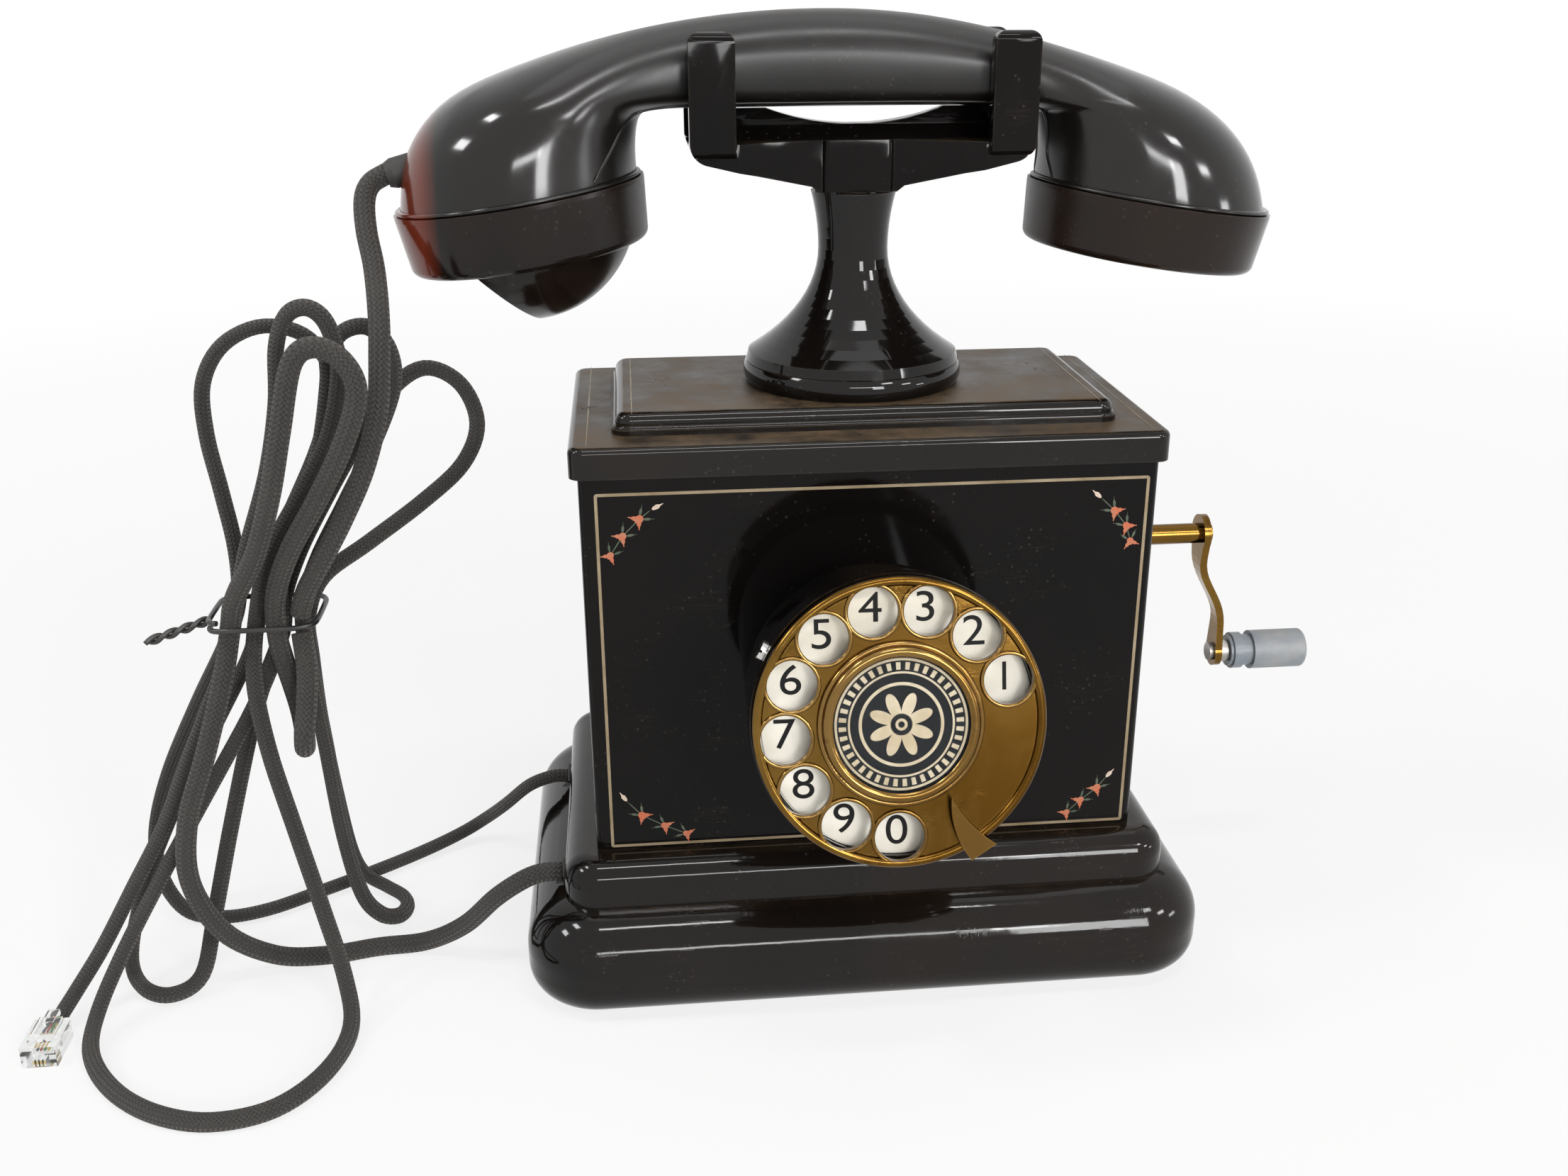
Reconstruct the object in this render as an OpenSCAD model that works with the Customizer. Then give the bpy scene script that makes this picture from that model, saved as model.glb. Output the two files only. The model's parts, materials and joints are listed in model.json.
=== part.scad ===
// Desk telephone with a rotary dial, a hand crank magneto and a handset on a spring cradle.
// The origin is the middle of the footprint on the table. X runs to the right, Y to the back, Z up.

/* [Case] */
// Width of the sheet steel case
case_w = 161; // [150:1:180]
// Depth of the case
case_d = 92; // [86:1:110]
// Height of the case walls
case_h = 121; // [116:1:130]
// Thickness of the case walls
case_wall = 1.6; // [1:0.2:2.4]
// Radius of the case's upright corners
case_r = 2.4; // [2.4:0.1:3.6]

/* [Base] */
// Width of the moulding round the case
base_margin = 22; // [20:0.5:26]
// Height of the base
base_h = 46; // [42:1:52]
// Thickness of the base's top
base_top = 4; // [3:0.5:6]
// Radius of the large bullnose
bullnose_r = 16; // [13:0.5:17]
// Radius of the small round at the foot of the case
step_r = 7.5; // [5:0.5:9]
// Thickness of the steel bottom plate
bottom_plate_t = 1.6; // [1:0.2:2.4]
// Height of the rubber feet
foot_h = 2.4; // [2:0.2:4]

/* [Lid] */
// Overhang of the lid past the case
lid_overhang = 2.3; // [1.8:0.1:4]
// Height of the lid's rim
lid_rim_h = 8.6; // [7:0.2:12]
// Distance from the lid's edge to its raised panel
panel_inset = 13; // [10:0.5:16]
// Height of the raised panel
panel_h = 6; // [5:0.5:8]
// Thickness of the lid's metal
lid_t = 2.2; // [1.4:0.2:3]

/* [Pedestal] */
// Height of the pedestal above the lid
pedestal_h = 54.3; // [50:1:66]
// Radius of the pedestal's neck
neck_r = 10; // [9.6:0.2:12]
// Radius of the pedestal's foot
pedestal_foot_r = 32; // [26:0.5:34]
// Radius of the plunger that carries the cradle
stem_r = 5; // [4:0.25:5.5]
// How far the cradle rises when the handset is lifted
hook_travel = 4; // [2:0.5:5]

/* [Cradle] */
// Half length of the cradle over its four arms
cradle_half = 47; // [42:1:52]
// Width of an arm
arm_w = 12.4; // [9:0.5:15]
// Height of the arms above the saddle
arm_rise = 20; // [16:1:24]
// Gap between the front and back arms
arm_gap = 33; // [32.8:0.2:36]

/* [Dial] */
// Radius of the finger wheel
wheel_r = 38; // [36:0.5:40]
// Distance of the finger wheel in front of the case
dial_standoff = 50.5; // [48:0.5:56]
// Height of the dial's centre
dial_z = 108.3; // [100:0.5:112]
// Backward tilt of the dial, in degrees
dial_tilt = 13.2; // [8:0.2:16]
// Radius of a finger hole
hole_r = 6.45; // [5.5:0.1:6.8]
// Radius of the circle of finger holes
hole_circle_r = 29.8; // [28.8:0.1:30.4]
// Angle between finger holes, in degrees
hole_step = 27.6; // [26.5:0.1:28]
// Radius of the number card in the middle
card_r = 18; // [15:0.5:18.5]

/* [Magneto] */
// Height of the crank shaft above the table
crank_z = 122; // [120:0.5:126]
// Radius of the crank shaft
crank_shaft_r = 3.2; // [2.5:0.1:4]
// Distance from the crank shaft to the knob
crank_throw = 41; // [34:0.5:46]
// Radius of the crank knob
knob_r = 6.25; // [5:0.25:8]
// Length of the crank knob
knob_len = 25; // [20:1:32]
// Module of the magneto's gears
gear_module = 0.8; // [0.7:0.05:0.85]
// Teeth of the large gear on the crank shaft
gear_teeth = 60; // [52:1:60]
// Teeth of the pinion on the armature
pinion_teeth = 15; // [14:1:17]
// Radius of the armature
armature_r = 12.5; // [10:0.25:13]

/* [Ringer] */
// Radius of a gong
gong_r = 19; // [16:0.5:20]
// Thickness of a gong
gong_t = 1.2; // [0.8:0.1:1.8]
// Radius of the clapper's ball
clapper_ball_r = 3.5; // [2.5:0.25:4]
// Gap between the ball at rest and each gong
clapper_gap = 1.6; // [1.4:0.1:2.4]

/* [Handset] */
// Radius of the transmitter and receiver caps
cap_r = 35; // [34:0.25:37]
// Height of the caps
cap_h = 17; // [16:0.5:20]
// Radius of the handset's bells where they meet the caps
bell_r = 33.4; // [33:0.1:34]
// Thickness of the handset's wall
shell_wall = 4; // [3:0.25:5]
// Half width of the handle
handle_half = 14; // [12:0.25:15]

/* [Cords] */
// Diameter of the braided handset cord
cord_d = 5.8; // [5:0.1:6]
// Diameter of the braided line cord
line_d = 4.8; // [4:0.1:5]

/* [Hidden] */
$fn = 64;

// Clearances
slack = 0.15;        // between fixed pieces that slide together
run = 0.05;          // radial clearance of a shaft in its bearing
seat = 0.05;         // between faces that bear on each other
air = 0.3;           // between pieces that pass without touching

// Colours
lacquer = [0.05, 0.045, 0.04];
bakelite = [0.09, 0.075, 0.065];
brass = [0.72, 0.55, 0.22];
steel = [0.62, 0.62, 0.6];
enamel = [0.93, 0.92, 0.86];
rubber = [0.12, 0.12, 0.12];
copper = [0.7, 0.38, 0.2];

// Levels and half sizes that follow from the driving sizes
half_w = case_w / 2;
half_d = case_d / 2;
corner_x = half_w;
corner_y = half_d;
rim_gap = 1.2;                            // under the base's lower edge
base_z = base_h;                          // where the case stands
case_top = base_z + case_h;
lid_top = case_top + seat + lid_t;
lid_bottom = lid_top - lid_rim_h;
panel_top = lid_top + panel_h;
pedestal_top = panel_top + pedestal_h;

module base_profile_2d() {
    low_r = 10;
    bull_z = base_h - 2 * step_r + 1.5 - bullnose_r;
    translate([0, rim_gap]) square([base_margin - low_r, bull_z]);
    translate([0, rim_gap + low_r]) square([base_margin, bull_z - rim_gap - low_r]);
    translate([base_margin - low_r, rim_gap + low_r]) circle(low_r);
    intersection() {
        translate([base_margin - bullnose_r, bull_z]) circle(bullnose_r);
        translate([0, bull_z]) square([base_margin, bullnose_r]);
    }
    square_top = bull_z + bullnose_r;
    translate([0, bull_z - 1]) square([base_margin - bullnose_r, bullnose_r + 1]);
    step_x = base_margin - bullnose_r + 4;
    translate([0, square_top - 2]) square([step_x, base_h - step_r - square_top + 2]);
    translate([step_x - step_r, base_h - step_r]) circle(step_r);
    translate([0, base_h - step_r]) square([step_x - step_r, step_r]);
}

// Runs a 2D outline, drawn outwards from a rectangle's edge, all the way round that rectangle
module frame_run(hx, hy) {
    for (i = [0:3]) rotate(90 * i) {
        along = i % 2 == 0 ? hx : hy;
        out = i % 2 == 0 ? hy : hx;
        translate([-along, out, 0]) rotate([90, 0, 90]) linear_extrude(2 * along) children();
        translate([along, out, 0]) rotate_extrude(angle = 90) intersection() {
            children();
            translate([0, -10]) square([60, 100]);
        }
    }
}

module rounded_slab(hx, hy, r, h) {
    linear_extrude(h) rounded_2d(hx, hy, r);
}

module rounded_2d(hx, hy, r) {
    square([2 * (hx - r), 2 * hy], center = true);
    square([2 * hx, 2 * (hy - r)], center = true);
    for (x = [-1, 1], y = [-1, 1]) translate([x * (hx - r), y * (hy - r)]) circle(r);
}

// Base
boss_r = 5;
boss_x = half_w - 10;
boss_y = half_d - 10;
cavity_out = base_margin - 7;
plate_z = foot_h;
screw_r = 1.55;       // shank of the small screws
pilot_r = 1.6;        // hole that takes that shank
head_r = 3.4;
head_h = 1.8;
case_screw_x = half_w - 24;
case_screw_y = half_d - 7;
gland_z = base_h - 11;
gland_x = -(half_w + base_margin - bullnose_r + 4.2);
line_gland_y = 23;
handset_gland_y = -38;
gland_r = 4.2;
wire_slot_x = 46;     // half sizes of the slot in the base's top
wire_slot_y = 7;

module base_plinth() color(lacquer) difference() {
    union() {
        frame_run(corner_x, corner_y) base_profile_2d();
        translate([-corner_x, -corner_y, rim_gap]) cube([2 * corner_x, 2 * corner_y, base_h - rim_gap]);
    }
    difference() {
        union() {
            translate([0, 0, rim_gap - 1])
                rounded_slab(half_w + cavity_out, half_d + cavity_out, cavity_out, 24 - rim_gap + 1);
            translate([0, 0, 20]) rounded_slab(half_w + 5, half_d + 5, 5, base_h - base_top - 20);
        }
        for (x = [-1, 1], y = [-1, 1]) translate([x * boss_x, y * boss_y, plate_z + bottom_plate_t + seat])
            cylinder(r = boss_r, h = base_h);
    }
    translate([0, 0, base_h - base_top - 1]) rounded_slab(wire_slot_x, wire_slot_y, 5, base_top + 2);
    for (x = [-1, 1], y = [-1, 1]) {
        translate([x * boss_x, y * boss_y, 0]) cylinder(r = pilot_r, h = base_h - 16);
        translate([x * case_screw_x, y * case_screw_y, base_h - base_top - 1])
            cylinder(r = pilot_r, h = base_top + 2);
    }
    for (y = [line_gland_y, handset_gland_y]) translate([gland_x - 4, y, gland_z]) rotate([0, 90, 0])
        cylinder(r = gland_r + run, h = 16);
}

module bottom_plate() color(steel) difference() {
    translate([0, 0, plate_z])
        rounded_slab(half_w + cavity_out - slack, half_d + cavity_out - slack, cavity_out - slack,
            bottom_plate_t);
    for (x = [-1, 1], y = [-1, 1]) translate([x * boss_x, y * boss_y, 0])
        cylinder(r = screw_r + slack, h = 10);
    for (i = [-3:3]) translate([i * 12, 0, 0]) cylinder(r = 2.5, h = 10);
}

module rubber_feet() color(rubber) for (x = [-1, 1], y = [-1, 1])
    translate([x * boss_x, y * boss_y, 0]) rotate_extrude() difference() {
        translate([screw_r + slack, 0]) square([7.5, foot_h - seat]);
        translate([0, -1]) square([head_r + air, foot_h - 0.8 + 1]);
        translate([screw_r + slack + 7.5, 0]) rotate(45) square(1.4, center = true);
    }

module bottom_screws() color(steel) for (x = [-1, 1], y = [-1, 1])
    translate([x * boss_x, y * boss_y, foot_h - 0.8 - seat]) {
        translate([0, 0, -1.2]) slotted_head(head_r, 1.2);
        cylinder(r = screw_r, h = 16);
    }

// A screw head with its slot, lying under the plane z = h with its slot below
module slotted_head(r, h) difference() {
    cylinder(r = r, h = h);
    translate([-r, -0.4, -1]) cube([2 * r, 0.8, 1 + h / 3]);
}

module gland(y) translate([gland_x - 0.5, y, gland_z]) rotate([0, 90, 0]) difference() {
    cylinder(r = gland_r, h = 11.5);
    translate([0, 0, 2.5]) cylinder(r = 1.6, h = 12);
}

module handset_cord_gland() color(rubber) gland(handset_gland_y);
module line_cord_gland() color(rubber) gland(line_gland_y);

// Case
tab_z = case_top - 8.5;
tab_t = 1.6;
lid_screw_x = half_w - 8;
lid_screw_y = half_d - 8;
floor_opening_x = half_w - 14;    // half sizes of the opening in the case's floor
floor_opening_y = half_d - 13;
floor_z = base_z + 2 * seat + case_wall;
bush_r = 5.9;
bush_wall_r = bush_r + run;
bush_len = 5.4;

module case_body() color(lacquer) difference() {
    union() {
        translate([0, 0, base_z + seat]) difference() {
            rounded_slab(half_w, half_d, case_r, case_h - seat);
            translate([0, 0, case_wall])
                rounded_slab(half_w - case_wall, half_d - case_wall, case_r - case_wall + 0.2, case_h);
            translate([0, 0, -1]) rounded_slab(floor_opening_x, floor_opening_y, 2, 4);
        }
        for (x = [-1, 1], y = [-1, 1]) at_corner(x, y)
            translate([half_w - case_wall - 12, half_d - case_wall - 12, tab_z])
                cube([12.2, 12.2, tab_t]);
    }
    for (x = [-1, 1], y = [-1, 1]) {
        translate([x * lid_screw_x, y * lid_screw_y, tab_z - 1]) cylinder(r = screw_r + slack, h = 4);
        translate([x * case_screw_x, y * case_screw_y, base_z - 1]) cylinder(r = screw_r + slack, h = 4);
    }
    translate([half_w - 5, 0, crank_z]) rotate([0, 90, 0]) cylinder(r = bush_wall_r, h = 10);
    on_dial_face() {
        translate([0, 0, -6]) cylinder(r = 9, h = 12);
        for (a = housing_screw_angles) rotate(a) translate([housing_screw_circle, 0, -6])
            cylinder(r = screw_r + slack, h = 12);
    }
}

// The corners of the case are mirror images of one another
module at_corner(x, y) mirror([x < 0 ? 1 : 0, 0, 0]) mirror([0, y < 0 ? 1 : 0, 0]) children();

module case_screws() color(steel) for (x = [-1, 1], y = [-1, 1])
    translate([x * case_screw_x, y * case_screw_y, base_z + seat + case_wall + seat]) {
        mirror([0, 0, 1]) cylinder(r = screw_r, h = case_wall + base_top - 0.5);
        translate([0, 0, head_h]) mirror([0, 0, 1]) slotted_head(head_r, head_h);
    }

// Lid
lid_r = 4;
lid_hx = half_w + lid_overhang;
lid_hy = half_d + lid_overhang;
panel_hx = lid_hx - panel_inset;
panel_hy = lid_hy - panel_inset;
panel_r = 4;
lid_boss_r = 4.4;
spigot_r = 14;

module lid_edge_2d() {
    square([lid_r - 2, lid_rim_h]);
    square([lid_r, lid_rim_h - 2]);
    translate([lid_r - 2, lid_rim_h - 2]) circle(2);
}

module panel_edge_2d() {
    round_r = panel_r - 1.2;
    square([panel_r + 1.2, 1.4]);
    translate([panel_r - 0.4, 1.4]) circle(1.2);
    square([panel_r, panel_h - round_r]);
    square([panel_r - round_r, panel_h]);
    translate([panel_r - round_r, panel_h - round_r]) circle(round_r);
}

module lid() color(lacquer) difference() {
    union() {
        translate([0, 0, lid_bottom]) {
            frame_run(lid_hx - lid_r, lid_hy - lid_r) lid_edge_2d();
            translate([-(lid_hx - lid_r), -(lid_hy - lid_r), 0])
                cube([2 * (lid_hx - lid_r), 2 * (lid_hy - lid_r), lid_rim_h]);
        }
        translate([0, 0, lid_top]) {
            frame_run(panel_hx - panel_r, panel_hy - panel_r) panel_edge_2d();
            translate([-(panel_hx - panel_r), -(panel_hy - panel_r), -1])
                cube([2 * (panel_hx - panel_r), 2 * (panel_hy - panel_r), panel_h + 1]);
        }
    }
    difference() {
        translate([0, 0, lid_bottom - 1])
            rounded_slab(half_w + slack, half_d + slack, case_r + slack, case_top + seat - lid_bottom + 1);
        for (x = [-1, 1], y = [-1, 1]) translate([x * lid_screw_x, y * lid_screw_y, tab_z + tab_t + seat])
            cylinder(r = lid_boss_r, h = 30);
    }
    translate([0, 0, case_top - 1])
        rounded_slab(panel_hx - lid_t - 2, panel_hy - lid_t - 2, 2, panel_top - lid_t - case_top + 1);
    for (x = [-1, 1], y = [-1, 1]) translate([x * lid_screw_x, y * lid_screw_y, tab_z])
        cylinder(r = pilot_r, h = case_top - tab_z);
    cylinder(r = spigot_r + slack, h = 400);
}

module lid_screws() color(steel) for (x = [-1, 1], y = [-1, 1])
    translate([x * lid_screw_x, y * lid_screw_y, tab_z - seat]) {
        cylinder(r = screw_r, h = 8);
        translate([0, 0, -head_h]) slotted_head(head_r, head_h);
    }

// Pedestal and its clamping nut
neck_z = pedestal_top - 16;
flare_z = panel_top + 9;
flare_out = pedestal_foot_r - 1.6;
flare_turn = 40;                  // angle through which the flare's outline turns
mouth_r = neck_r + 2.2;           // at the top, under the cradle's hub
bead_h = 6.4;
bead_r = 5;
spring_well_r = 7.6;
nut_floor_z = panel_top - 12.3;
nut_floor_t = 2;
spigot_bottom = nut_floor_z + nut_floor_t + seat;
guide_z = pedestal_top - 12;
flare_steps = 12;
// Point of the flare's outline at an angle of its turn, which is 0 at the neck
function flare_point(a) = [
    neck_r + (flare_out - neck_r) * (1 - cos(a)) / (1 - cos(flare_turn)),
    neck_z - (neck_z - flare_z) * sin(a) / sin(flare_turn)
];
// Point of the outline above the neck, at a share of the way up to the mouth
function mouth_point(t) = [neck_r + (mouth_r - neck_r) * pow(t, 2), neck_z + (pedestal_top - neck_z) * t];

module pedestal() color(lacquer) rotate_extrude() difference() {
    union() {
        polygon([
            [0, spigot_bottom], [spigot_r, spigot_bottom], [spigot_r, panel_top + seat],
            [pedestal_foot_r - 2, panel_top + seat], [pedestal_foot_r - 0.8, panel_top + bead_h],
            for (i = [0:flare_steps]) flare_point(flare_turn * (1 - i / flare_steps)),
            for (i = [1:5]) mouth_point(i / 5),
            [0, pedestal_top]
        ]);
        foot_bead_2d(pedestal_foot_r, panel_top + seat, bead_h);
    }
    translate([0, spigot_bottom - 1]) square([spring_well_r, guide_z - spigot_bottom + 1]);
    square([stem_r + run, pedestal_top + 10]);
}

// Outline of the rounded bead at the pedestal's foot, from z up
module foot_bead_2d(r, z, h) intersection() {
    translate([r - bead_r, z]) square([bead_r, h]);
    translate([r - bead_r, z + h / 2]) circle(bead_r);
}

module pedestal_nut() color(steel) rotate_extrude() difference() {
    union() {
        translate([0, panel_top - lid_t - seat - 5]) square([20, 5]);
        translate([0, nut_floor_z]) square([17, panel_top - lid_t - seat - nut_floor_z]);
    }
    translate([0, nut_floor_z + nut_floor_t]) square([spigot_r + run, 40]);
    square([stem_r + run, panel_top]);
}

// Cradle, with its handset rest, four arms and plunger
rest_z = pedestal_top + 22.9;     // where the underside of the handle rests
hub_z = pedestal_top + air;       // underside of the hub
hub_half = 10;
yoke_top_z = pedestal_top + 14.4; // top of the front and back faces
arm_t = 5;
stem_bottom = case_top - 18;
stem_tip_len = 4;
collar_z = pedestal_top - 25;
collar_h = 3;
arm_x = cradle_half - arm_w / 2;
arm_top = rest_z + arm_rise;
saddle_dip = 4.4;
saddle_half = 25;
saddle_curve_r = (pow(saddle_half, 2) + pow(saddle_dip, 2)) / (2 * saddle_dip);
rib_half = 2.5;                   // of the rib that carries the handle, at its top
rib_foot = 8.5;                   // and at its foot
wing_y = arm_gap / 2 + arm_t - 2.5;
wing_rise = 13.3;                 // angle of the wings' underside
wing_start = [hub_half + 3, pedestal_top + 2];
wing_corner_r = 6;
wing_corner = [cradle_half - wing_corner_r, wing_start[1] + wing_corner_r / cos(wing_rise)
    + (cradle_half - wing_corner_r - wing_start[0]) * tan(wing_rise)];
arm_foot = pedestal_top + 10.8;

module cradle_yoke() color(lacquer) difference() {
    union() {
        yoke_wings();
        saddle_rib();
        for (x = [-1, 1], y = [-1, 1]) at_corner(x, y) yoke_arm();
        translate([0, 0, hub_z]) linear_extrude(yoke_top_z - hub_z) rounded_2d(hub_half, hub_half, 2);
    }
    translate([0, 0, hub_z - 1]) cylinder(r = stem_r + 0.02, h = 9);
}

// The bow tie in plan, cut to the outline of the underside in the front view
module yoke_wings() intersection() {
    translate([0, 0, hub_z]) linear_extrude(yoke_top_z - hub_z) wings_plan_2d();
    translate([0, 40, 0]) rotate([90, 0, 0]) linear_extrude(80) underside_2d();
}

module wings_plan_2d() for (s = [0, 1]) mirror([s, 0]) polygon([
    [-1, -8], [hub_half, -rib_foot], [cradle_half - arm_w - 6, -wing_y + 3.5],
    [cradle_half - arm_w - 1, -wing_y], [cradle_half - 2, -wing_y], [cradle_half, -wing_y + 3],
    [cradle_half, -7], [cradle_half - 12, 0], [cradle_half, 7],
    [cradle_half, wing_y - 3], [cradle_half - 2, wing_y], [cradle_half - arm_w - 1, wing_y],
    [cradle_half - arm_w - 6, wing_y - 3.5], [hub_half, rib_foot], [-1, 8]
]);

// Everything above the rising underside, in the front view
module underside_2d() for (s = [0, 1]) mirror([s, 0]) {
    polygon([
        [-1, hub_z], [hub_half + 1, hub_z], wing_start,
        wing_corner + wing_corner_r * [sin(wing_rise), -cos(wing_rise)],
        wing_corner, [cradle_half, wing_corner[1]], [cradle_half, arm_top + 1], [-1, arm_top + 1]
    ]);
    translate(wing_corner) circle(wing_corner_r);
}

// The rib that the handle rests on: sloping sides, and a dip in the middle
module saddle_rib() difference() {
    translate([-cradle_half + 8, 0, 0]) rotate([90, 0, 90]) linear_extrude(2 * cradle_half - 16)
        for (s = [0, 1]) mirror([s, 0]) polygon([
            [-0.1, yoke_top_z - 1], [rib_foot, yoke_top_z - 1], [rib_foot, yoke_top_z],
            [rib_half + 1, rest_z - air - saddle_dip], [rib_half, rest_z - air], [-0.1, rest_z - air]
        ]);
    translate([0, 40, rest_z - air - saddle_dip + saddle_curve_r]) rotate([90, 0, 0])
        cylinder(r = saddle_curve_r, h = 80, $fn = 128);
}

module yoke_arm() intersection() {
    translate([0, 40, 0]) rotate([90, 0, 0]) linear_extrude(80) intersection() {
        translate([arm_x, 0]) arm_front_2d();
        underside_2d();
    }
    translate([arm_x - arm_w, 0, 0]) rotate([90, 0, 90]) linear_extrude(2 * arm_w) {
        translate([arm_gap / 2, arm_foot + arm_t / 2]) square([arm_t, arm_top - arm_foot - arm_t]);
        for (z = [arm_foot + arm_t / 2, arm_top - arm_t / 2])
            translate([arm_gap / 2 + arm_t / 2, z]) circle(arm_t / 2);
    }
}

module arm_front_2d() {
    translate([-arm_w / 2, arm_foot]) square([arm_w, arm_top - arm_foot - 3]);
    translate([-arm_w / 2 + 3, arm_foot]) square([arm_w - 6, arm_top - arm_foot]);
    for (s = [-1, 1]) translate([s * (arm_w / 2 - 3), arm_top - 3]) circle(3);
}

module cradle_stem() color(steel) {
    translate([0, 0, stem_bottom]) cylinder(r = stem_r, h = hub_z + 7.5 - stem_bottom);
    translate([0, 0, collar_z]) cylinder(r = spring_well_r - 0.5, h = collar_h);
    translate([0, 0, stem_bottom - stem_tip_len]) cylinder(r = stem_r - 1.5, h = stem_tip_len);
}

// The return spring stands on the nut's floor and pushes up the plunger's collar
spring_wire = 1.1;
spring_turns = 7;
spring_r = stem_r + 0.35 + spring_wire / 2;
spring_bottom = nut_floor_z + nut_floor_t + seat + spring_wire / 2;
spring_top = collar_z - seat - spring_wire / 2;
spring_ring = 10;                  // rings in one turn

function helix(r, z0, z1, turns, n) = [for (i = [0:turns * n])
    [r * cos(360 * i / n), r * sin(360 * i / n), z0 + (z1 - z0) * i / (turns * n)]];

module return_spring() color(steel)
    tube(helix(spring_r, spring_bottom, spring_top, spring_turns, spring_ring), spring_wire / 2, 6);

// Hook switch: a pile of contact springs under the plunger, hung from the lid to the left of the nut
switch_x = -27;                    // face of the bracket that carries the pile
blade_t = 0.5;
blade_pitch = 4.5;
blade_z = stem_bottom - stem_tip_len - air - blade_t;   // top contact spring
pile_h = 16;
pile_z = blade_z - 2 * blade_pitch - 3.1;
bracket_top = panel_top - lid_t - seat;

module hook_switch() {
    color(steel) {
        translate([switch_x - 2, -7, pile_z]) cube([2, 14, bracket_top - pile_z]);
        translate([switch_x - 12, -7, bracket_top - 2]) cube([12, 14, 2]);
    }
    color(bakelite) translate([switch_x + seat, -6, pile_z]) difference() {
        cube([12, 12, pile_h]);
        for (i = [0:2]) translate([1, 1, 3.05 + blade_pitch * i]) cube([12, 10, blade_t + 2 * seat]);
    }
    color(brass) for (i = [0:2]) translate([switch_x + 1.5, -4, blade_z - blade_pitch * i])
        cube([4 - switch_x - 1.5, 8, blade_t]);
}

// Dial. Its own frame has Z outwards along the tilted axis, with z = 0 at the front of the wheel
barrel_r = wheel_r - 2;
barrel_in = barrel_r - 3;
cup_r = wheel_r + 0.4;
cup_in = cup_r - 2.4;
cup_depth = 13;
shelf_z = -9;
frame_t = 1.6;
back_t = 3;
housing_screw_circle = 20;
housing_screw_angles = [90, 210, 330];
dial_face_z = dial_z - dial_standoff * tan(dial_tilt);
side_screw_angle = 151;
first_hole = 20;                     // angle of the hole marked 1
stop_angle = -58;
dial_shaft_r = 3;
gear_z = -16;                        // back face of the dial's gear
gear_w = 3;
dial_module = 0.6;
dial_teeth = 56;
impulse_teeth = 14;
impulse_x = dial_module * (dial_teeth + impulse_teeth) / 2;
impulse_pin_r = 1.5;
bridge_z = -30;
pillar_angles = [90, 210, 330];
pillar_circle = barrel_in - 4;
plate_top = -5.3;

module on_dial() translate([0, -half_d - dial_standoff, dial_z]) rotate([90 - dial_tilt, 0, 0])
    children();

// Square on the case's front face, where the dial's axis meets it
module on_dial_face() translate([0, -half_d, dial_face_z]) rotate([90, 0, 0]) children();

module dial_housing() color(lacquer) difference() {
    intersection() {
        on_dial() rotate_extrude() {
            translate([0, -90]) square([barrel_r, 90 - cup_depth + 1]);
            translate([0, -cup_depth]) square([cup_r, cup_depth - 3.6]);
            translate([0, -cup_depth - 2]) square([barrel_r + 1.2, 3]);
        }
        translate([-60, -half_d - seat - 120, 0]) cube([120, 120, 260]);
    }
    difference() {
        on_dial() rotate_extrude() {
            translate([0, -90]) square([barrel_in, 90]);
            translate([0, shelf_z - seat]) square([cup_in, 20]);
        }
        translate([-60, -half_d - seat - back_t, 0]) cube([120, back_t + 1, 260]);
    }
    on_dial_face() {
        translate([0, 0, -1]) cylinder(r = 6, h = back_t + 2);
        for (a = housing_screw_angles) rotate(a) translate([housing_screw_circle, 0, -1])
            cylinder(r = pilot_r, h = back_t + 2);
    }
    on_side_screw() cylinder(r = 1.6, h = 10, center = true);
}

module on_side_screw() on_dial() rotate(side_screw_angle)
    translate([cup_r, 0, shelf_z + frame_t / 2]) rotate([0, 90, 0]) children();

module dial_side_screw() color(steel) on_side_screw() {
    translate([0, 0, -(cup_r - cup_in) - 0.1]) cylinder(r = 1.55, h = cup_r - cup_in + 0.2);
    translate([0, 0, 0.05]) difference() {
        cylinder(r = 2.6, h = 1.6);
        translate([-3, -0.4, 1]) cube([6, 0.8, 2]);
    }
}

module housing_screws() color(steel) on_dial_face() for (a = housing_screw_angles)
    rotate(a) translate([housing_screw_circle, 0, -case_wall - seat]) {
        cylinder(r = screw_r, h = case_wall + back_t);
        translate([0, 0, -head_h]) slotted_head(head_r, head_h);
    }

module dial_frame() color(steel) on_dial() difference() {
    union() {
        translate([0, 0, shelf_z]) cylinder(r = cup_in - slack, h = frame_t);
        translate([0, 0, bridge_z]) cylinder(r = barrel_in - 1, h = frame_t);
        for (a = pillar_angles) rotate(a) translate([pillar_circle, 0, bridge_z])
            cylinder(r = 2.2, h = shelf_z - bridge_z + 0.5);
    }
    translate([0, 0, -60]) cylinder(r = dial_shaft_r + run, h = 80);
    translate([impulse_x, 0, -60]) cylinder(r = impulse_pin_r + run, h = 80);
}

module number_plate() color(enamel) on_dial() rotate_extrude() {
    translate([9, plate_top - 1]) square([cup_in - slack - 9 - 0.5, 1]);
    translate([cup_in - slack - 1.5, shelf_z + frame_t + seat])
        square([1.5, plate_top - shelf_z - frame_t - seat - 0.5]);
}

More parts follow.
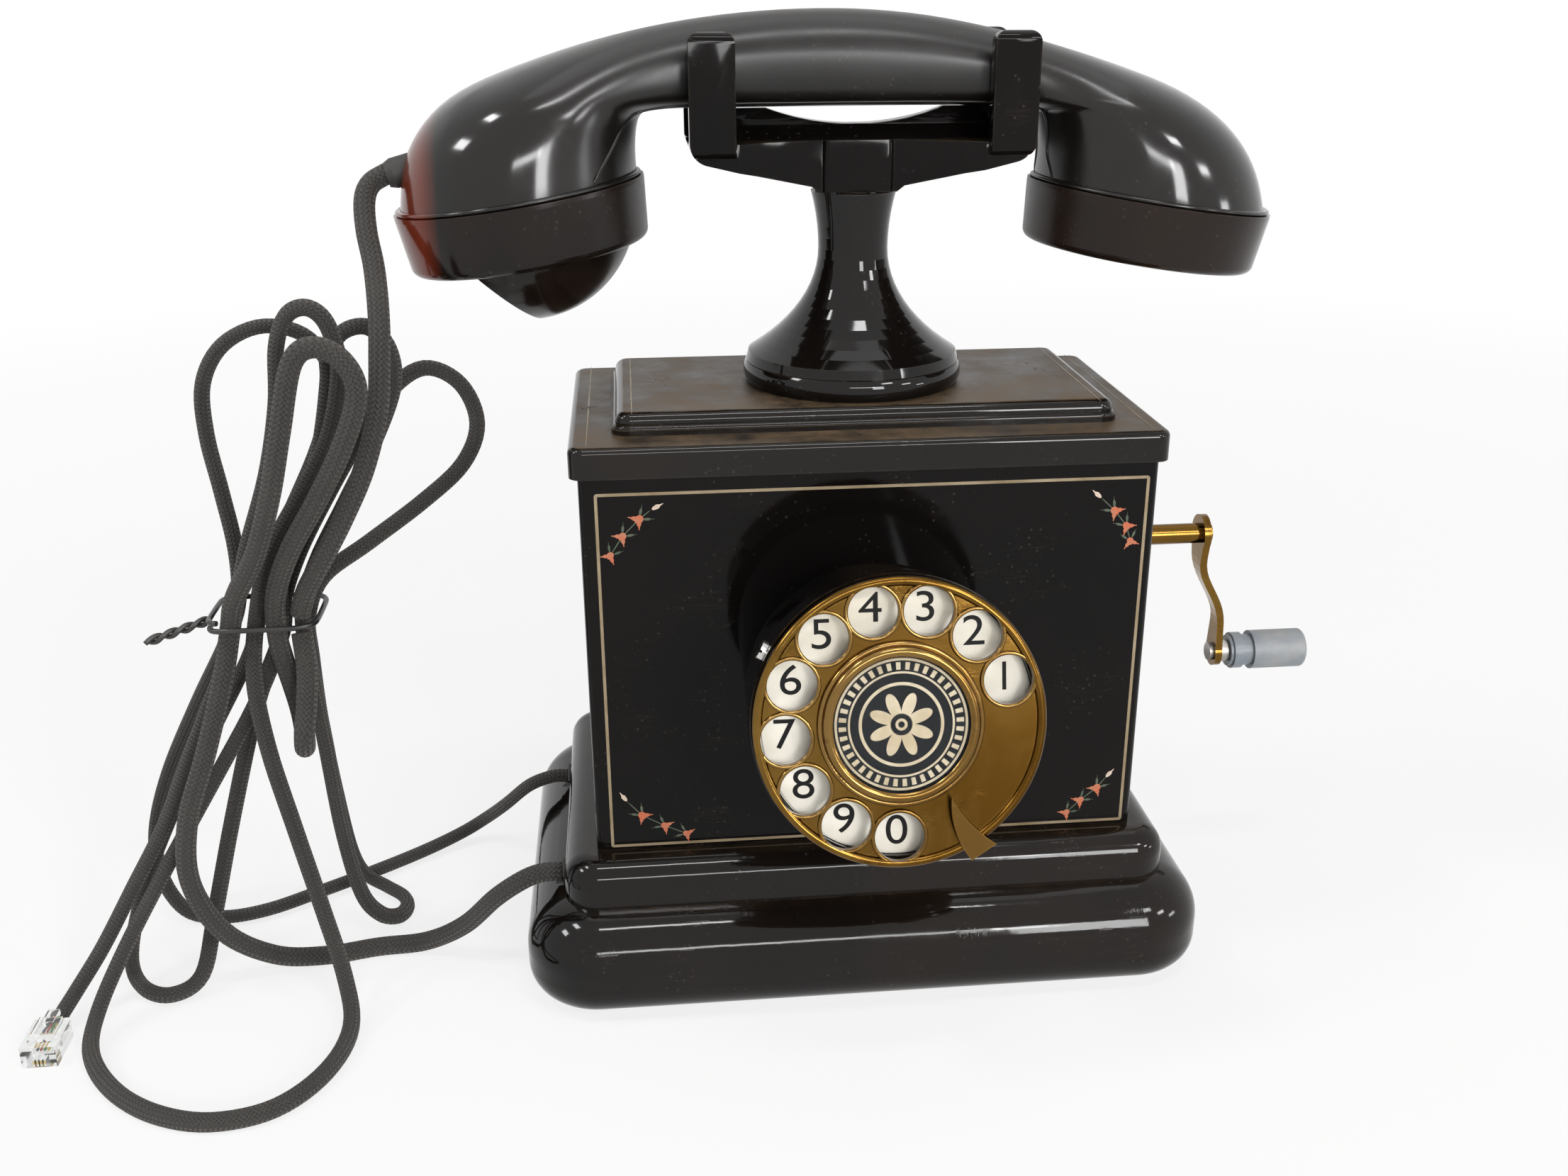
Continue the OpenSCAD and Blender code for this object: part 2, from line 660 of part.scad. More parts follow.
// The finger stop: a talon that reaches over the wheel's edge, between two arcs that meet at its tip
stop_tip = [23, 0.3];
stop_foot_r = cup_r + seat;
stop_t = 1.2;
stop_z = 1.4;
stop_tab_t = 1.6;
stop_out_r = 24.1;                   // of the full side
stop_in_r = 32.2;                    // of the hollow side
module finger_stop() color(brass) on_dial() rotate(stop_angle) {
    translate([0, 0, stop_z]) linear_extrude(stop_t) difference() {
        intersection() {
            translate([stop_tip[0] - 1, -8]) square([stop_foot_r + stop_tab_t - stop_tip[0] + 1, 14]);
            translate(stop_tip + stop_out_r * [sin(37), cos(37)]) circle(stop_out_r, $fn = 128);
        }
        translate(stop_tip + stop_in_r * [sin(5.5), cos(5.5)]) circle(stop_in_r, $fn = 128);
    }
    translate([stop_foot_r, -4.4, shelf_z + 1]) cube([stop_tab_t, 7, stop_z - shelf_z - 1 + stop_t]);
}

module finger_wheel() color(brass) on_dial() difference() {
    union() {
        rotate_extrude() {
            translate([0, -1.4]) square([wheel_r - 1.3, 1.2]);
            translate([wheel_r - 1.3, -0.5]) circle(1.3);
        }
        at_holes() translate([0, 0, -1]) cylinder(r = hole_r + 0.9, h = 1.2);
    }
    at_holes() translate([0, 0, -5]) cylinder(r = hole_r, h = 10);
    translate([0, 0, -5]) cylinder(r = dial_shaft_r + 0.02, h = 10);
}

module at_holes() for (i = [0:9]) rotate(first_hole + i * hole_step)
    translate([hole_circle_r, 0, 0]) children();

ring_r = card_r + 3.6;
module card_ring() color(brass) on_dial() rotate_extrude() difference() {
    union() {
        translate([0, seat - 0.2]) square([ring_r - 0.8, 1.4]);
        translate([ring_r - 0.8, seat + 0.6]) circle(0.8);
        translate([card_r + 0.9, seat + 1.2]) circle(1.5);
    }
    translate([0, -0.2 + seat + 0.4]) square([card_r + slack, 1.9]);
    square([card_r - 0.8, 10]);
    translate([0, -5]) square([60, 5 + seat - 0.2]);
}

module centre_card() color([0.1, 0.1, 0.1]) on_dial()
    translate([0, 0, 0.3]) cylinder(r = card_r, h = 0.4);
module card_window() color([0.8, 0.85, 0.85]) on_dial()
    translate([0, 0, 0.75]) cylinder(r = card_r, h = 0.9);

module dial_shaft() color(steel) on_dial() {
    translate([0, 0, bridge_z - 2]) cylinder(r = dial_shaft_r, h = -bridge_z + 2 - 0.25);
    translate([0, 0, -3.4]) cylinder(r = 8, h = 3.4 - 1.4 - seat);
}

module dial_gear() color(brass) on_dial() difference() {
    union() {
        translate([0, 0, gear_z]) linear_extrude(gear_w) gear_2d(dial_teeth, dial_module);
        translate([0, 0, gear_z - 3]) cylinder(r = 6, h = gear_w + 6);
    }
    translate([0, 0, -60]) cylinder(r = dial_shaft_r + 0.02, h = 80);
}

// The return spring of the dial: a flat spiral between the gear and the bridge
spiral_turns = 5;
spiral_pitch = 1.5;
spiral_in = dial_shaft_r + 0.3;
spiral_t = 0.5;
module dial_spring() color(steel) on_dial() translate([0, 0, gear_z - 10]) linear_extrude(6)
    polygon([
        for (i = [0:spiral_turns * 16]) spiral_point(i, 0),
        for (i = [spiral_turns * 16:-1:0]) spiral_point(i, spiral_t)
    ]);
function spiral_point(i, out) = let (a = i * 360 / 16, r = spiral_in + spiral_pitch * i / 16 + out)
    [r * cos(a), r * sin(a)];

module impulse_wheel() color(brass) on_dial() translate([impulse_x, 0, 0]) {
    translate([0, 0, bridge_z]) cylinder(r = impulse_pin_r, h = shelf_z + frame_t - bridge_z);
    translate([0, 0, gear_z - 0.5]) rotate(180 / impulse_teeth + 180)
        linear_extrude(gear_w + 1) gear_2d(impulse_teeth, dial_module);
    translate([0, 0, gear_z - 6]) linear_extrude(2) {
        circle(2.4);
        for (a = [0, 120, 240]) rotate(a) translate([0, -1.2]) square([5, 2.4]);
    }
}

// Involute gear outline with a tooth centred on the X axis
pressure = 20;
backlash = 0.16;
function inv(a) = tan(a) * 180 / PI - a;
function tooth(n, m, root, tip) = let (
    r = n * m / 2, rb = r * cos(pressure),
    half = 90 / n - backlash / 2 / r * 180 / PI,
    start = max(rb, root), steps = 4
) [
    for (i = [0:steps]) let (ri = start + (tip - start) * i / steps)
        [ri, -(half + inv(pressure) - inv(acos(min(1, rb / ri))))],
    for (i = [steps:-1:0]) let (ri = start + (tip - start) * i / steps)
        [ri, half + inv(pressure) - inv(acos(min(1, rb / ri)))]
];
module gear_2d(n, m) {
    r = n * m / 2;
    root = r - 1.15 * m;
    flank = tooth(n, m, root, r + 0.85 * m);
    edge = [[root, flank[0][1]], each flank, [root, flank[len(flank) - 1][1]]];
    polygon([for (k = [0:n - 1], p = edge) p[0] * [cos(p[1] + 360 * k / n), sin(p[1] + 360 * k / n)]]);
}

// Magneto. Its shafts run along X
gear_dist = gear_module * (gear_teeth + pinion_teeth) / 2;
armature_z = crank_z - gear_dist;
armature_shaft_r = 3;
pole_gap = 0.5;
pole_t = 7;
magnet_t = 7;
pole_r = armature_r + pole_gap;
pole_out = pole_r + pole_t;
magnet_in = pole_out + seat;
magnet_out = magnet_in + magnet_t;
inner_plate_x = 18;
end_plate_t = 2;
magnet_w = 11;
magnet_gap = 2;
magnet_pitch = magnet_w + magnet_gap;
magnet_room = 1;                    // between the inner end plate and the first magnet
magnets_x = inner_plate_x + end_plate_t + magnet_room;
outer_plate_x = magnets_x + 2 * magnet_pitch + magnet_w + 2 * magnet_room;
gear_gap = 4;
drive_gear_x = outer_plate_x + end_plate_t + gear_gap;
drive_gear_w = 5;
magneto_foot = 8;
plate_rise = 20;                    // of an end plate above the armature's centre

module along_x(x, z) translate([x, 0, z]) rotate([90, 0, 90]) children();

module magnet_2d() difference() {
    union() {
        translate([0, crank_z + 4]) circle(magnet_out);
        translate([-magnet_out, armature_z - pole_r - 4])
            square([2 * magnet_out, crank_z + 4 - armature_z + pole_r + 4]);
    }
    translate([0, crank_z + 4]) circle(magnet_in);
    translate([-magnet_in, 0]) square([2 * magnet_in, crank_z + 4]);
}

module magnets() color(steel) for (i = [0:2])
    along_x(magnets_x + magnet_pitch * i, 0) linear_extrude(magnet_w) magnet_2d();

module pole_pieces() color(steel) for (s = [-1, 1]) mirror([0, s < 0 ? 1 : 0, 0])
    along_x(inner_plate_x + end_plate_t + seat, 0)
        linear_extrude(outer_plate_x - inner_plate_x - end_plate_t - 2 * seat) difference() {
            translate([4, armature_z - pole_r - 3]) square([pole_out - 4, 2 * pole_r + 6]);
            translate([0, armature_z]) circle(pole_r);
        }

module magneto_end_plates() color(brass) for (x = [inner_plate_x, outer_plate_x]) {
    along_x(x, 0) linear_extrude(end_plate_t) difference() {
        union() {
            translate([-magnet_out, base_z + seat]) square([2 * magnet_out, armature_z + plate_rise - base_z]);
            translate([0, armature_z + plate_rise]) intersection() {
                circle(magnet_out);
                translate([-2 * magnet_out, -1]) square([4 * magnet_out, 2 * magnet_out]);
            }
        }
        translate([0, armature_z]) circle(armature_shaft_r + run);
        if (x == outer_plate_x) translate([0, crank_z]) circle(crank_shaft_r + run);
    }
    translate([x - magneto_foot, -magnet_out, base_z + seat])
        cube([magneto_foot + end_plate_t, 2 * magnet_out, end_plate_t]);
}

module armature() color(copper) {
    along_x(inner_plate_x - 2, armature_z) cylinder(r = armature_shaft_r,
        h = drive_gear_x + drive_gear_w + 2 - inner_plate_x);
    along_x(inner_plate_x + end_plate_t + 2, armature_z) linear_extrude(outer_plate_x
        - inner_plate_x - end_plate_t - 4) difference() {
            circle(armature_r);
            for (s = [-1, 1]) translate([s * armature_r, 0])
                rounded_2d(armature_r - 3.5, armature_r * 0.55, 2);
        }
    along_x(drive_gear_x - 0.5, armature_z) rotate(90 + 180 / pinion_teeth)
        linear_extrude(drive_gear_w + 1) gear_2d(pinion_teeth, gear_module);
}

module drive_gear() color(brass) difference() {
    union() {
        along_x(drive_gear_x, crank_z) rotate(-90) linear_extrude(drive_gear_w) difference() {
            gear_2d(gear_teeth, gear_module);
            for (a = [0:60:300]) rotate(a + 30) translate([gear_teeth * gear_module / 4 + 2, 0])
                circle(gear_teeth * gear_module / 12);
        }
        along_x(outer_plate_x + end_plate_t + air, crank_z)
            cylinder(r = crank_shaft_r + 3, h = drive_gear_x + drive_gear_w + 1 - outer_plate_x - end_plate_t);
    }
    along_x(outer_plate_x, crank_z) cylinder(r = crank_shaft_r + 0.02, h = 40);
}

arm_hub_x = half_w + 30.8;
strip_t = 2.2;
module crank_shaft() color(brass) {
    along_x(outer_plate_x - 0.5, crank_z)
        cylinder(r = crank_shaft_r, h = arm_hub_x - outer_plate_x + 0.5);
    along_x(arm_hub_x, crank_z) cylinder(r = crank_shaft_r - 1, h = strip_t + 1.6);
    along_x(arm_hub_x + strip_t + seat, crank_z) cylinder(r = crank_shaft_r - 0.2, h = 1.4);
}

module crank_bushing() color(brass) along_x(half_w + 0.6 - bush_len, crank_z) difference() {
    union() {
        cylinder(r = bush_r, h = bush_len);
        cylinder(r = bush_r + 3, h = bush_len - 0.6 - case_wall - seat);
    }
    translate([0, 0, -1]) cylinder(r = crank_shaft_r + run, h = bush_len + 2);
}

// The crank arm: a flat strip bent outwards in an S and rounded at both ends
arm_step = 8;                       // how far the S carries the strip outwards
hub_lobe = 6;
pin_lobe = 4.6;
pin_z = crank_z - crank_throw;
s_steps = 10;
function s_curve(t) = arm_step * (1 - cos(180 * t)) / 2;

module crank_arm() color(brass) difference() {
    intersection() {
        translate([arm_hub_x, 20, 0]) rotate([90, 0, 0]) linear_extrude(40) polygon([
            [0, crank_z + hub_lobe + 1],
            for (i = [0:s_steps]) let (t = i / s_steps) [s_curve(t), arm_bend(t)],
            [arm_step, pin_z - pin_lobe - 1], [arm_step + strip_t, pin_z - pin_lobe - 1],
            for (i = [s_steps:-1:0]) let (t = i / s_steps) [s_curve(t) + strip_t, arm_bend(t) + 0.6],
            [strip_t, crank_z + hub_lobe + 1]
        ]);
        along_x(arm_hub_x - 1, 0) linear_extrude(arm_step + strip_t + 2) arm_face_2d();
    }
    along_x(arm_hub_x - 5, crank_z) cylinder(r = crank_shaft_r - 1 + 0.02, h = 30);
    along_x(arm_hub_x - 5, pin_z) cylinder(r = pin_r + 0.02, h = 30);
}
function arm_bend(t) = crank_z - hub_lobe - 2 - (crank_throw - hub_lobe - pin_lobe - 8) * t;

module arm_face_2d() {
    translate([0, crank_z]) circle(hub_lobe);
    translate([0, pin_z]) circle(pin_lobe);
    polygon([
        [-hub_lobe + 0.6, crank_z - 2], [-2.9, crank_z - 14], [-2.7, pin_z + 14],
        [-pin_lobe + 0.4, pin_z + 2], [pin_lobe - 0.4, pin_z + 2], [2.7, pin_z + 14],
        [2.9, crank_z - 14], [hub_lobe - 0.6, crank_z - 2]
    ]);
}

pin_r = 1.9;
knob_x = arm_hub_x + arm_step + strip_t + 3;
module knob_pin() color(steel) along_x(0, pin_z) {
    translate([0, 0, arm_hub_x + arm_step - 1.2]) cylinder(r = pin_r + 1, h = 1.2 - seat);
    translate([0, 0, arm_hub_x + arm_step - seat]) cylinder(r = pin_r, h = knob_len + 4.4 + strip_t);
    translate([0, 0, arm_hub_x + arm_step + strip_t + seat]) cylinder(r = pin_r + 1.6, h = 2.6);
    translate([0, 0, knob_x + knob_len + seat]) cylinder(r = pin_r + 0.9, h = 1.1);
}

module crank_knob() color([0.42, 0.47, 0.52]) along_x(knob_x, pin_z) rotate_extrude() difference() {
    union() {
        square([knob_r - 1.2, knob_len]);
        translate([0, 1]) square([knob_r - 0.4, 3.2]);
        translate([0, 7.4]) square([knob_r, knob_len - 8.6]);
        translate([knob_r - 1.2, knob_len - 1.2]) circle(1.2);
    }
    translate([0, -1]) square([pin_r + run, knob_len + 2]);
}

// Ringer
ringer_x = -32;
gong_offset = gong_r + clapper_ball_r + clapper_gap;
gong_rise = 75;
gong_top = base_z + gong_rise;
gong_h = 13;
gong_bore = 2.6;
ball_z = gong_top - gong_h + 2.6;
pivot_rise = 48.5;
pivot_z = base_z + pivot_rise;
pivot_r = 1.5;
coil_r = 7.5;
coil_x = 12;
coil_h = 38;
bobbin_t = 1.6;
core_h = 45.2;
ringer_half = 34;
post_r = 3.4;
lever_half = coil_x + 3;
frame_plate_t = 2;
frame_plate_half = 12;
ear_y = 7;                          // of the ears that hold the clapper's pivot
ear_w = 6;
core_r = 3;
gong_sag = 0.4;                     // of the gong's inside over the width of its post

module ringer_frame() color(steel) difference() {
    union() {
        translate([ringer_x - ringer_half, -frame_plate_half, base_z + seat])
            cube([2 * ringer_half, 2 * frame_plate_half, frame_plate_t]);
        for (s = [-1, 1]) {
            translate([ringer_x + s * coil_x, 0, base_z + seat]) cylinder(r = core_r, h = core_h);
            translate([ringer_x + s * gong_offset, 0, base_z + seat]) {
                cylinder(r = post_r, h = gong_top - gong_t - gong_sag - base_z - 2 * seat);
                cylinder(r = gong_bore - slack, h = gong_top - base_z + 1);
            }
            translate([ringer_x - ear_w / 2, s * ear_y - 1, base_z + seat])
                cube([ear_w, 2, pivot_z - base_z + 4]);
        }
    }
    translate([ringer_x, 20, pivot_z]) rotate([90, 0, 0]) cylinder(r = pivot_r + run, h = 40);
}

module ringer_coils() color(copper) for (s = [-1, 1])
    translate([ringer_x + s * coil_x, 0, base_z + frame_plate_t + 2 * seat]) rotate_extrude() {
        translate([core_r + 0.1, 0]) square([coil_r - core_r - 1.3, coil_h]);
        for (z = [0, coil_h - bobbin_t]) translate([core_r + 0.1, z])
            square([coil_r - core_r - 0.1, bobbin_t]);
    }

module gong(s) color(steel) translate([ringer_x + s * gong_offset, 0, gong_top - gong_h])
    rotate_extrude() difference() {
        intersection() {
            translate([0, 0]) square([gong_r, gong_h]);
            translate([0, gong_h - gong_dome_r]) circle(gong_dome_r, $fn = 96);
        }
        translate([0, gong_h - gong_dome_r]) circle(gong_dome_r - gong_t, $fn = 96);
        square([gong_bore, 2 * gong_h]);
        translate([0, -1]) square([gong_r - gong_t, 1.01]);
    }
gong_dome_r = (pow(gong_r, 2) + pow(gong_h, 2)) / (2 * gong_h);
module gong_left() gong(-1);
module gong_right() gong(1);

module clapper() color(steel) {
    translate([ringer_x, 9, pivot_z]) rotate([90, 0, 0]) cylinder(r = pivot_r, h = 18);
    translate([ringer_x - lever_half, -4, pivot_z - 1.5]) cube([2 * lever_half, 8, 3]);
    translate([ringer_x, 0, pivot_z]) cylinder(r = 1, h = ball_z - pivot_z);
    translate([ringer_x, 0, ball_z]) sphere(clapper_ball_r);
}

// Speech circuit on the floor of the case
back_row_y = half_d - case_wall - 13.4;
speech_len = 50;
speech_end = [4, 12, 14];
speech_r = 5.5;
capacitor_at = [-29, 11.5 - half_d];
capacitor_half = [19, 6];
capacitor_h = 28;
block_size = [34, 11, 8];
block_x = 8;
terminal_pitch = 8;
terminal_r = 2.2;

module induction_coil() color(copper) translate([2 - speech_len, back_row_y, floor_z]) {
    for (x = [0, speech_len - speech_end[0]]) translate([x, 0, 0]) cube(speech_end);
    translate([speech_end[0], speech_end[1] / 2, speech_end[2] / 2]) rotate([0, 90, 0])
        cylinder(r = speech_r, h = speech_len - 2 * speech_end[0]);
}

module capacitor() color(steel) translate([capacitor_at[0], capacitor_at[1], floor_z])
    rounded_slab(capacitor_half[0], capacitor_half[1], 2, capacitor_h);

module terminal_block() translate([block_x, back_row_y, floor_z]) {
    color(bakelite) cube(block_size);
    color(brass) for (i = [0:3]) translate([block_size[0] / 2 + terminal_pitch * (i - 1.5),
        block_size[1] / 2, block_size[2] + seat]) cylinder(r = terminal_r, h = 1.8);
}

// Handset. Each cap has its own frame, with z = 0 at the seam with the bell and Z towards the bell
cap_tilt = 8.5;
left_cap = [-93.9, 0, rest_z - 22.4];
right_cap = [86, 0, rest_z - 25.6];
thread_r = bell_r - 3;
thread_len = 5;
channel_r = 4;

module on_left_cap() translate(left_cap) rotate([0, -cap_tilt, 0]) children();
module on_right_cap() translate(right_cap) rotate([0, cap_tilt, 0]) children();

// Sections from the left bell over the handle to the right bell. Each is the outer point and the
// inner point of the side view, the half width, and the share by which the section is still a cup
sections = [
    [-125.6, -14.5, -61.2, -10.5, 32.4, 1], [-121, -5.5, -60.6, -5, 30.8, 0.9],
    [-112, 3.7, -59.8, -2, 28.4, 0.7], [-98, 9.6, -58.2, -0.8, 24.8, 0.4],
    [-80, 15.6, -55.5, -0.2, 20.4, 0.15], [-62, 20.2, -49.5, 0, 16.8, 0],
    [-42, 23.7, -38, 0, 14.6, 0], [-21, 25.5, -20, 0, handle_half, 0],
    [0, 25.7, 0, 0, handle_half, 0], [20, 23.9, 18.5, 0, handle_half, 0],
    [40, 20, 36, 0, 14.7, 0], [58.5, 15.1, 45, -0.1, 16.8, 0],
    [76, 9.7, 49, -0.5, 20.8, 0.15], [91, 4.3, 51.3, -1.6, 25.2, 0.4],
    [103.5, -3.2, 52.5, -4.4, 28.8, 0.7], [112, -12, 53.2, -8.8, 31.2, 0.9],
    [116.8, -21, 53.4, -14.6, 32.7, 1]
];
section_points = 28;

function spow(v, p) = v < 0 ? -pow(-v, p) : pow(v, p);
// One ring: a circle on the bells, with a squarer lower half along the handle
function section_ring(outer, inner, half, square_n) = let (
    mid = (outer + inner) / 2, up = (outer - inner) / 2
) [for (k = [0:section_points - 1]) let (
    a = 360 * k / section_points,
    n = cos(a) < 0 ? square_n : 2,
    c = spow(cos(a), 2 / n), s = spow(sin(a), 2 / n)
) [mid[0] + up[0] * c, half * s, mid[1] + up[1] * c]];

// The round ring of radius r on a cap's frame, at depth z along it
function cap_ring(centre, tilt, side, r, z) = let (
    c = [centre[0] + z * -sin(tilt) * side, centre[2] + z * cos(tilt)],
    e = [cos(tilt), side * sin(tilt)]
) section_ring(c - side * e * r, c + side * e * r, r, 2);

function outer_rings() = [
    cap_ring(left_cap, cap_tilt, 1, thread_r, -thread_len),
    cap_ring(left_cap, cap_tilt, 1, thread_r, seat),
    cap_ring(left_cap, cap_tilt, 1, bell_r, seat),
    for (s = sections) section_ring([s[0], rest_z + s[1]], [s[2], rest_z + s[3]], s[4], 3.2 - 1.2 * min(1, 3 * s[5])),
    cap_ring(right_cap, cap_tilt, -1, bell_r, seat),
    cap_ring(right_cap, cap_tilt, -1, thread_r, seat),
    cap_ring(right_cap, cap_tilt, -1, thread_r, -thread_len)
];
// The hollow: a cup in each bell and a channel for the wires along the handle
function hollow_section(s) = let (
    o = [s[0], rest_z + s[1]], i = [s[2], rest_z + s[3]], mid = (o + i) / 2, up = (o - i) / 2,
    long = norm(up), in_long = s[5] * (long - shell_wall) + (1 - s[5]) * channel_r,
    in_half = s[5] * (s[4] - shell_wall) + (1 - s[5]) * channel_r
) section_ring(mid + up * in_long / long, mid - up * in_long / long, in_half, 2);
function inner_rings() = [
    cap_ring(right_cap, cap_tilt, -1, thread_r - 3, -thread_len),
    for (i = [len(sections) - 1:-1:0]) hollow_section(sections[i]),
    cap_ring(left_cap, cap_tilt, 1, thread_r - 3, -thread_len)
];

// Skins a closed chain of rings that all have the same number of points
module ring_chain(rings) {
    n = len(rings[0]);
    m = len(rings);
    polyhedron(
        points = [for (g = rings, p = g) p],
        faces = [for (i = [0:m - 1], k = [0:n - 1]) let (
            a = i * n + k, b = i * n + (k + 1) % n,
            c = ((i + 1) % m) * n + (k + 1) % n, d = ((i + 1) % m) * n + k
        ) each [[a, b, c], [a, c, d]]]
    );
}

module handset_shell() color(bakelite) ring_chain(concat(outer_rings(), inner_rings()));

cap_in = thread_r + slack;
face_t = 3;
capsule_lip = 3;
cap_lip = 2.6;                     // radius of the edge round each cap's face
module cap_body_2d() difference() {
    polygon([
        [0, 0], [cap_r, 0], [cap_r, -1.2],
        for (a = [0:15:90]) [cap_r - 1.4 - cap_lip * (1 - cos(a)), cap_lip * (1 - sin(a)) - cap_h],
        [0, -cap_h]
    ]);
    translate([0, -cap_h + face_t]) square([cap_in, cap_h]);
}

dish_depth = 1.8;
dish_curve_r = 90;
horn_r = 28.5;
horn_depth = 17.8;
horn_t = 2.4;
horn_curve_r = (pow(horn_r, 2) + pow(horn_depth, 2)) / (2 * horn_depth);

module transmitter_cap() color(bakelite) on_left_cap() difference() {
    union() {
        rotate_extrude() cap_body_2d();
        difference() {
            translate([0, 0, -cap_h - horn_depth + horn_curve_r]) sphere(horn_curve_r, $fn = 96);
            translate([0, 0, -cap_h - horn_depth + horn_curve_r]) sphere(horn_curve_r - horn_t, $fn = 96);
            translate([-60, -60, -cap_h + 0.5]) cube([120, 120, 80]);
            translate([-14, 0, -cap_h]) rotate([0, -38, 0]) translate([-60, -60, -60]) cube([60, 120, 120]);
        }
    }
    for (a = [0:60:300]) rotate(a) translate([9, 0, -cap_h - 1]) cylinder(r = 2, h = face_t + 2);
    translate([0, 0, -cap_h - 1]) cylinder(r = 2, h = face_t + 2);
}

module receiver_cap() color(bakelite) on_right_cap() difference() {
    rotate_extrude() cap_body_2d();
    translate([0, 0, dish_depth - cap_h - dish_curve_r]) sphere(dish_curve_r, $fn = 128);
    for (a = [0:60:300]) rotate(a) translate([8, 0, -cap_h - 1]) cylinder(r = 1.6, h = face_t + 2);
    translate([0, 0, -cap_h - 1]) cylinder(r = 1.6, h = face_t + 2);
}

module capsule_2d() {
    translate([0, -cap_h + face_t + seat]) square([thread_r - 4, cap_h - face_t - 2 * seat - 4]);
    translate([0, -thread_len - seat - capsule_lip]) square([thread_r - 0.4, capsule_lip]);
    square([thread_r - 12, 2]);
    translate([0, -thread_len]) square([thread_r - 4, thread_len]);
}
module transmitter_capsule() color(steel) on_left_cap() rotate_extrude() capsule_2d();
module receiver_capsule() color(brass) on_right_cap() rotate_extrude() capsule_2d();

// Grommet where the cord leaves the left bell
grommet_at = [-124.5, -2, rest_z - 15.5];
grommet_dir = [-0.96, -0.1, -0.26];
grommet_len = 5;
grommet_r = 4.1;
module handset_grommet() color(rubber) translate(grommet_at)
    rotate([0, acos(grommet_dir[2] / norm(grommet_dir)), atan2(grommet_dir[1], grommet_dir[0])])
        difference() {
            union() {
                translate([0, 0, -4]) cylinder(r = grommet_r, h = grommet_len + 2);
                translate([0, 0, grommet_len - 2]) cylinder(r1 = grommet_r, r2 = grommet_r - 0.8, h = 2);
            }
            translate([0, 0, -5]) cylinder(r = 1.5, h = grommet_len + 2);
        }

// Sweeps a round section of n sides along points, with its ends square to them
function unit(v) = v / norm(v);
function directions(p) = let (n = len(p)) [for (i = [0:n - 1])
    unit(p[min(i + 1, n - 1)] - p[max(i - 1, 0)])];
function square_to(t) = unit(cross(t, abs(t[2]) < 0.9 ? [0, 0, 1] : [1, 0, 0]));
function sides_of(t) = [for (i = 0, v = square_to(t[0]); i < len(t);
    v = i + 1 < len(t) ? unit(v - (v * t[i + 1]) * t[i + 1]) : v, i = i + 1) v];

module tube(points, r, n) {
    t = directions(points);
    v = sides_of(t);
    m = len(points);
    polyhedron(
        points = [for (i = [0:m - 1], k = [0:n - 1]) let (w = cross(t[i], v[i]), a = 360 * k / n)
            points[i] + r * (cos(a) * v[i] + sin(a) * w)],
        faces = concat(
            [for (k = [1:n - 2]) [0, k, k + 1]],
            [for (k = [1:n - 2]) [(m - 1) * n, (m - 1) * n + k + 1, (m - 1) * n + k]],
            [for (i = [0:m - 2], k = [0:n - 1]) let (
                a = i * n + k, b = i * n + (k + 1) % n, c = b + n, d = a + n
            ) each [[a, d, c], [a, c, b]]]
        )
    );
}

// Cords. The routes are laid out by hand, as round numbers, and smoothed by one curve through them
tie_z = 115;
tie_wire_r = 0.8;
tie_rings = 34;
plug_at = [-238.5, -56, 3.4];

drop_route = [
    [-129.9, -2.5, 235.2], [-133.6, -3.5, 233.6], [-135.3, -6.2, 229.4], [-134.8, -11, 222],
    [-132.8, -17, 213], [-131.5, -25, 203], [-131.5, -30, 193], [-133, -33, 178], [-138, -34, 162],
    [-145, -34, 148], [-152, -33, 136], [-158, -30, 126], [-161.2, -28, 118]
];
handset_route = [
    [-161.4, -28, 112], [-160.6, -31, 102], [-160.4, -37, 94], [-161, -41, 87.5],
    [-162, -39, 81.5], [-163.2, -33, 79], [-164.4, -27, 81.5], [-165.4, -25, 87.5],
    [-166.6, -25, 95], [-167.8, -26.4, 104], [-168.2, -28, 112], [-167, -29, 124], [-161, -33, 138], [-151, -37, 154], [-142, -39, 170],
    [-137, -39, 184], [-140, -39, 193], [-147, -39, 196.5], [-153, -39, 192], [-158, -39, 174],
    [-163, -38, 156], [-170, -34, 138], [-178, -30, 124], [-181, -28, 114], [-184, -32, 100],
    [-190, -38, 80], [-197, -41, 60], [-199, -41, 40], [-193, -37, 20], [-181, -31, 7],
    [-167, -27, 2.9], [-151, -24, 2.9], [-136, -24, 4], [-123, -30, 13], [-112, -36, 26],
    [-103, -38, 33], [-97, -38, 35], [-91.6, -38, 35]
];
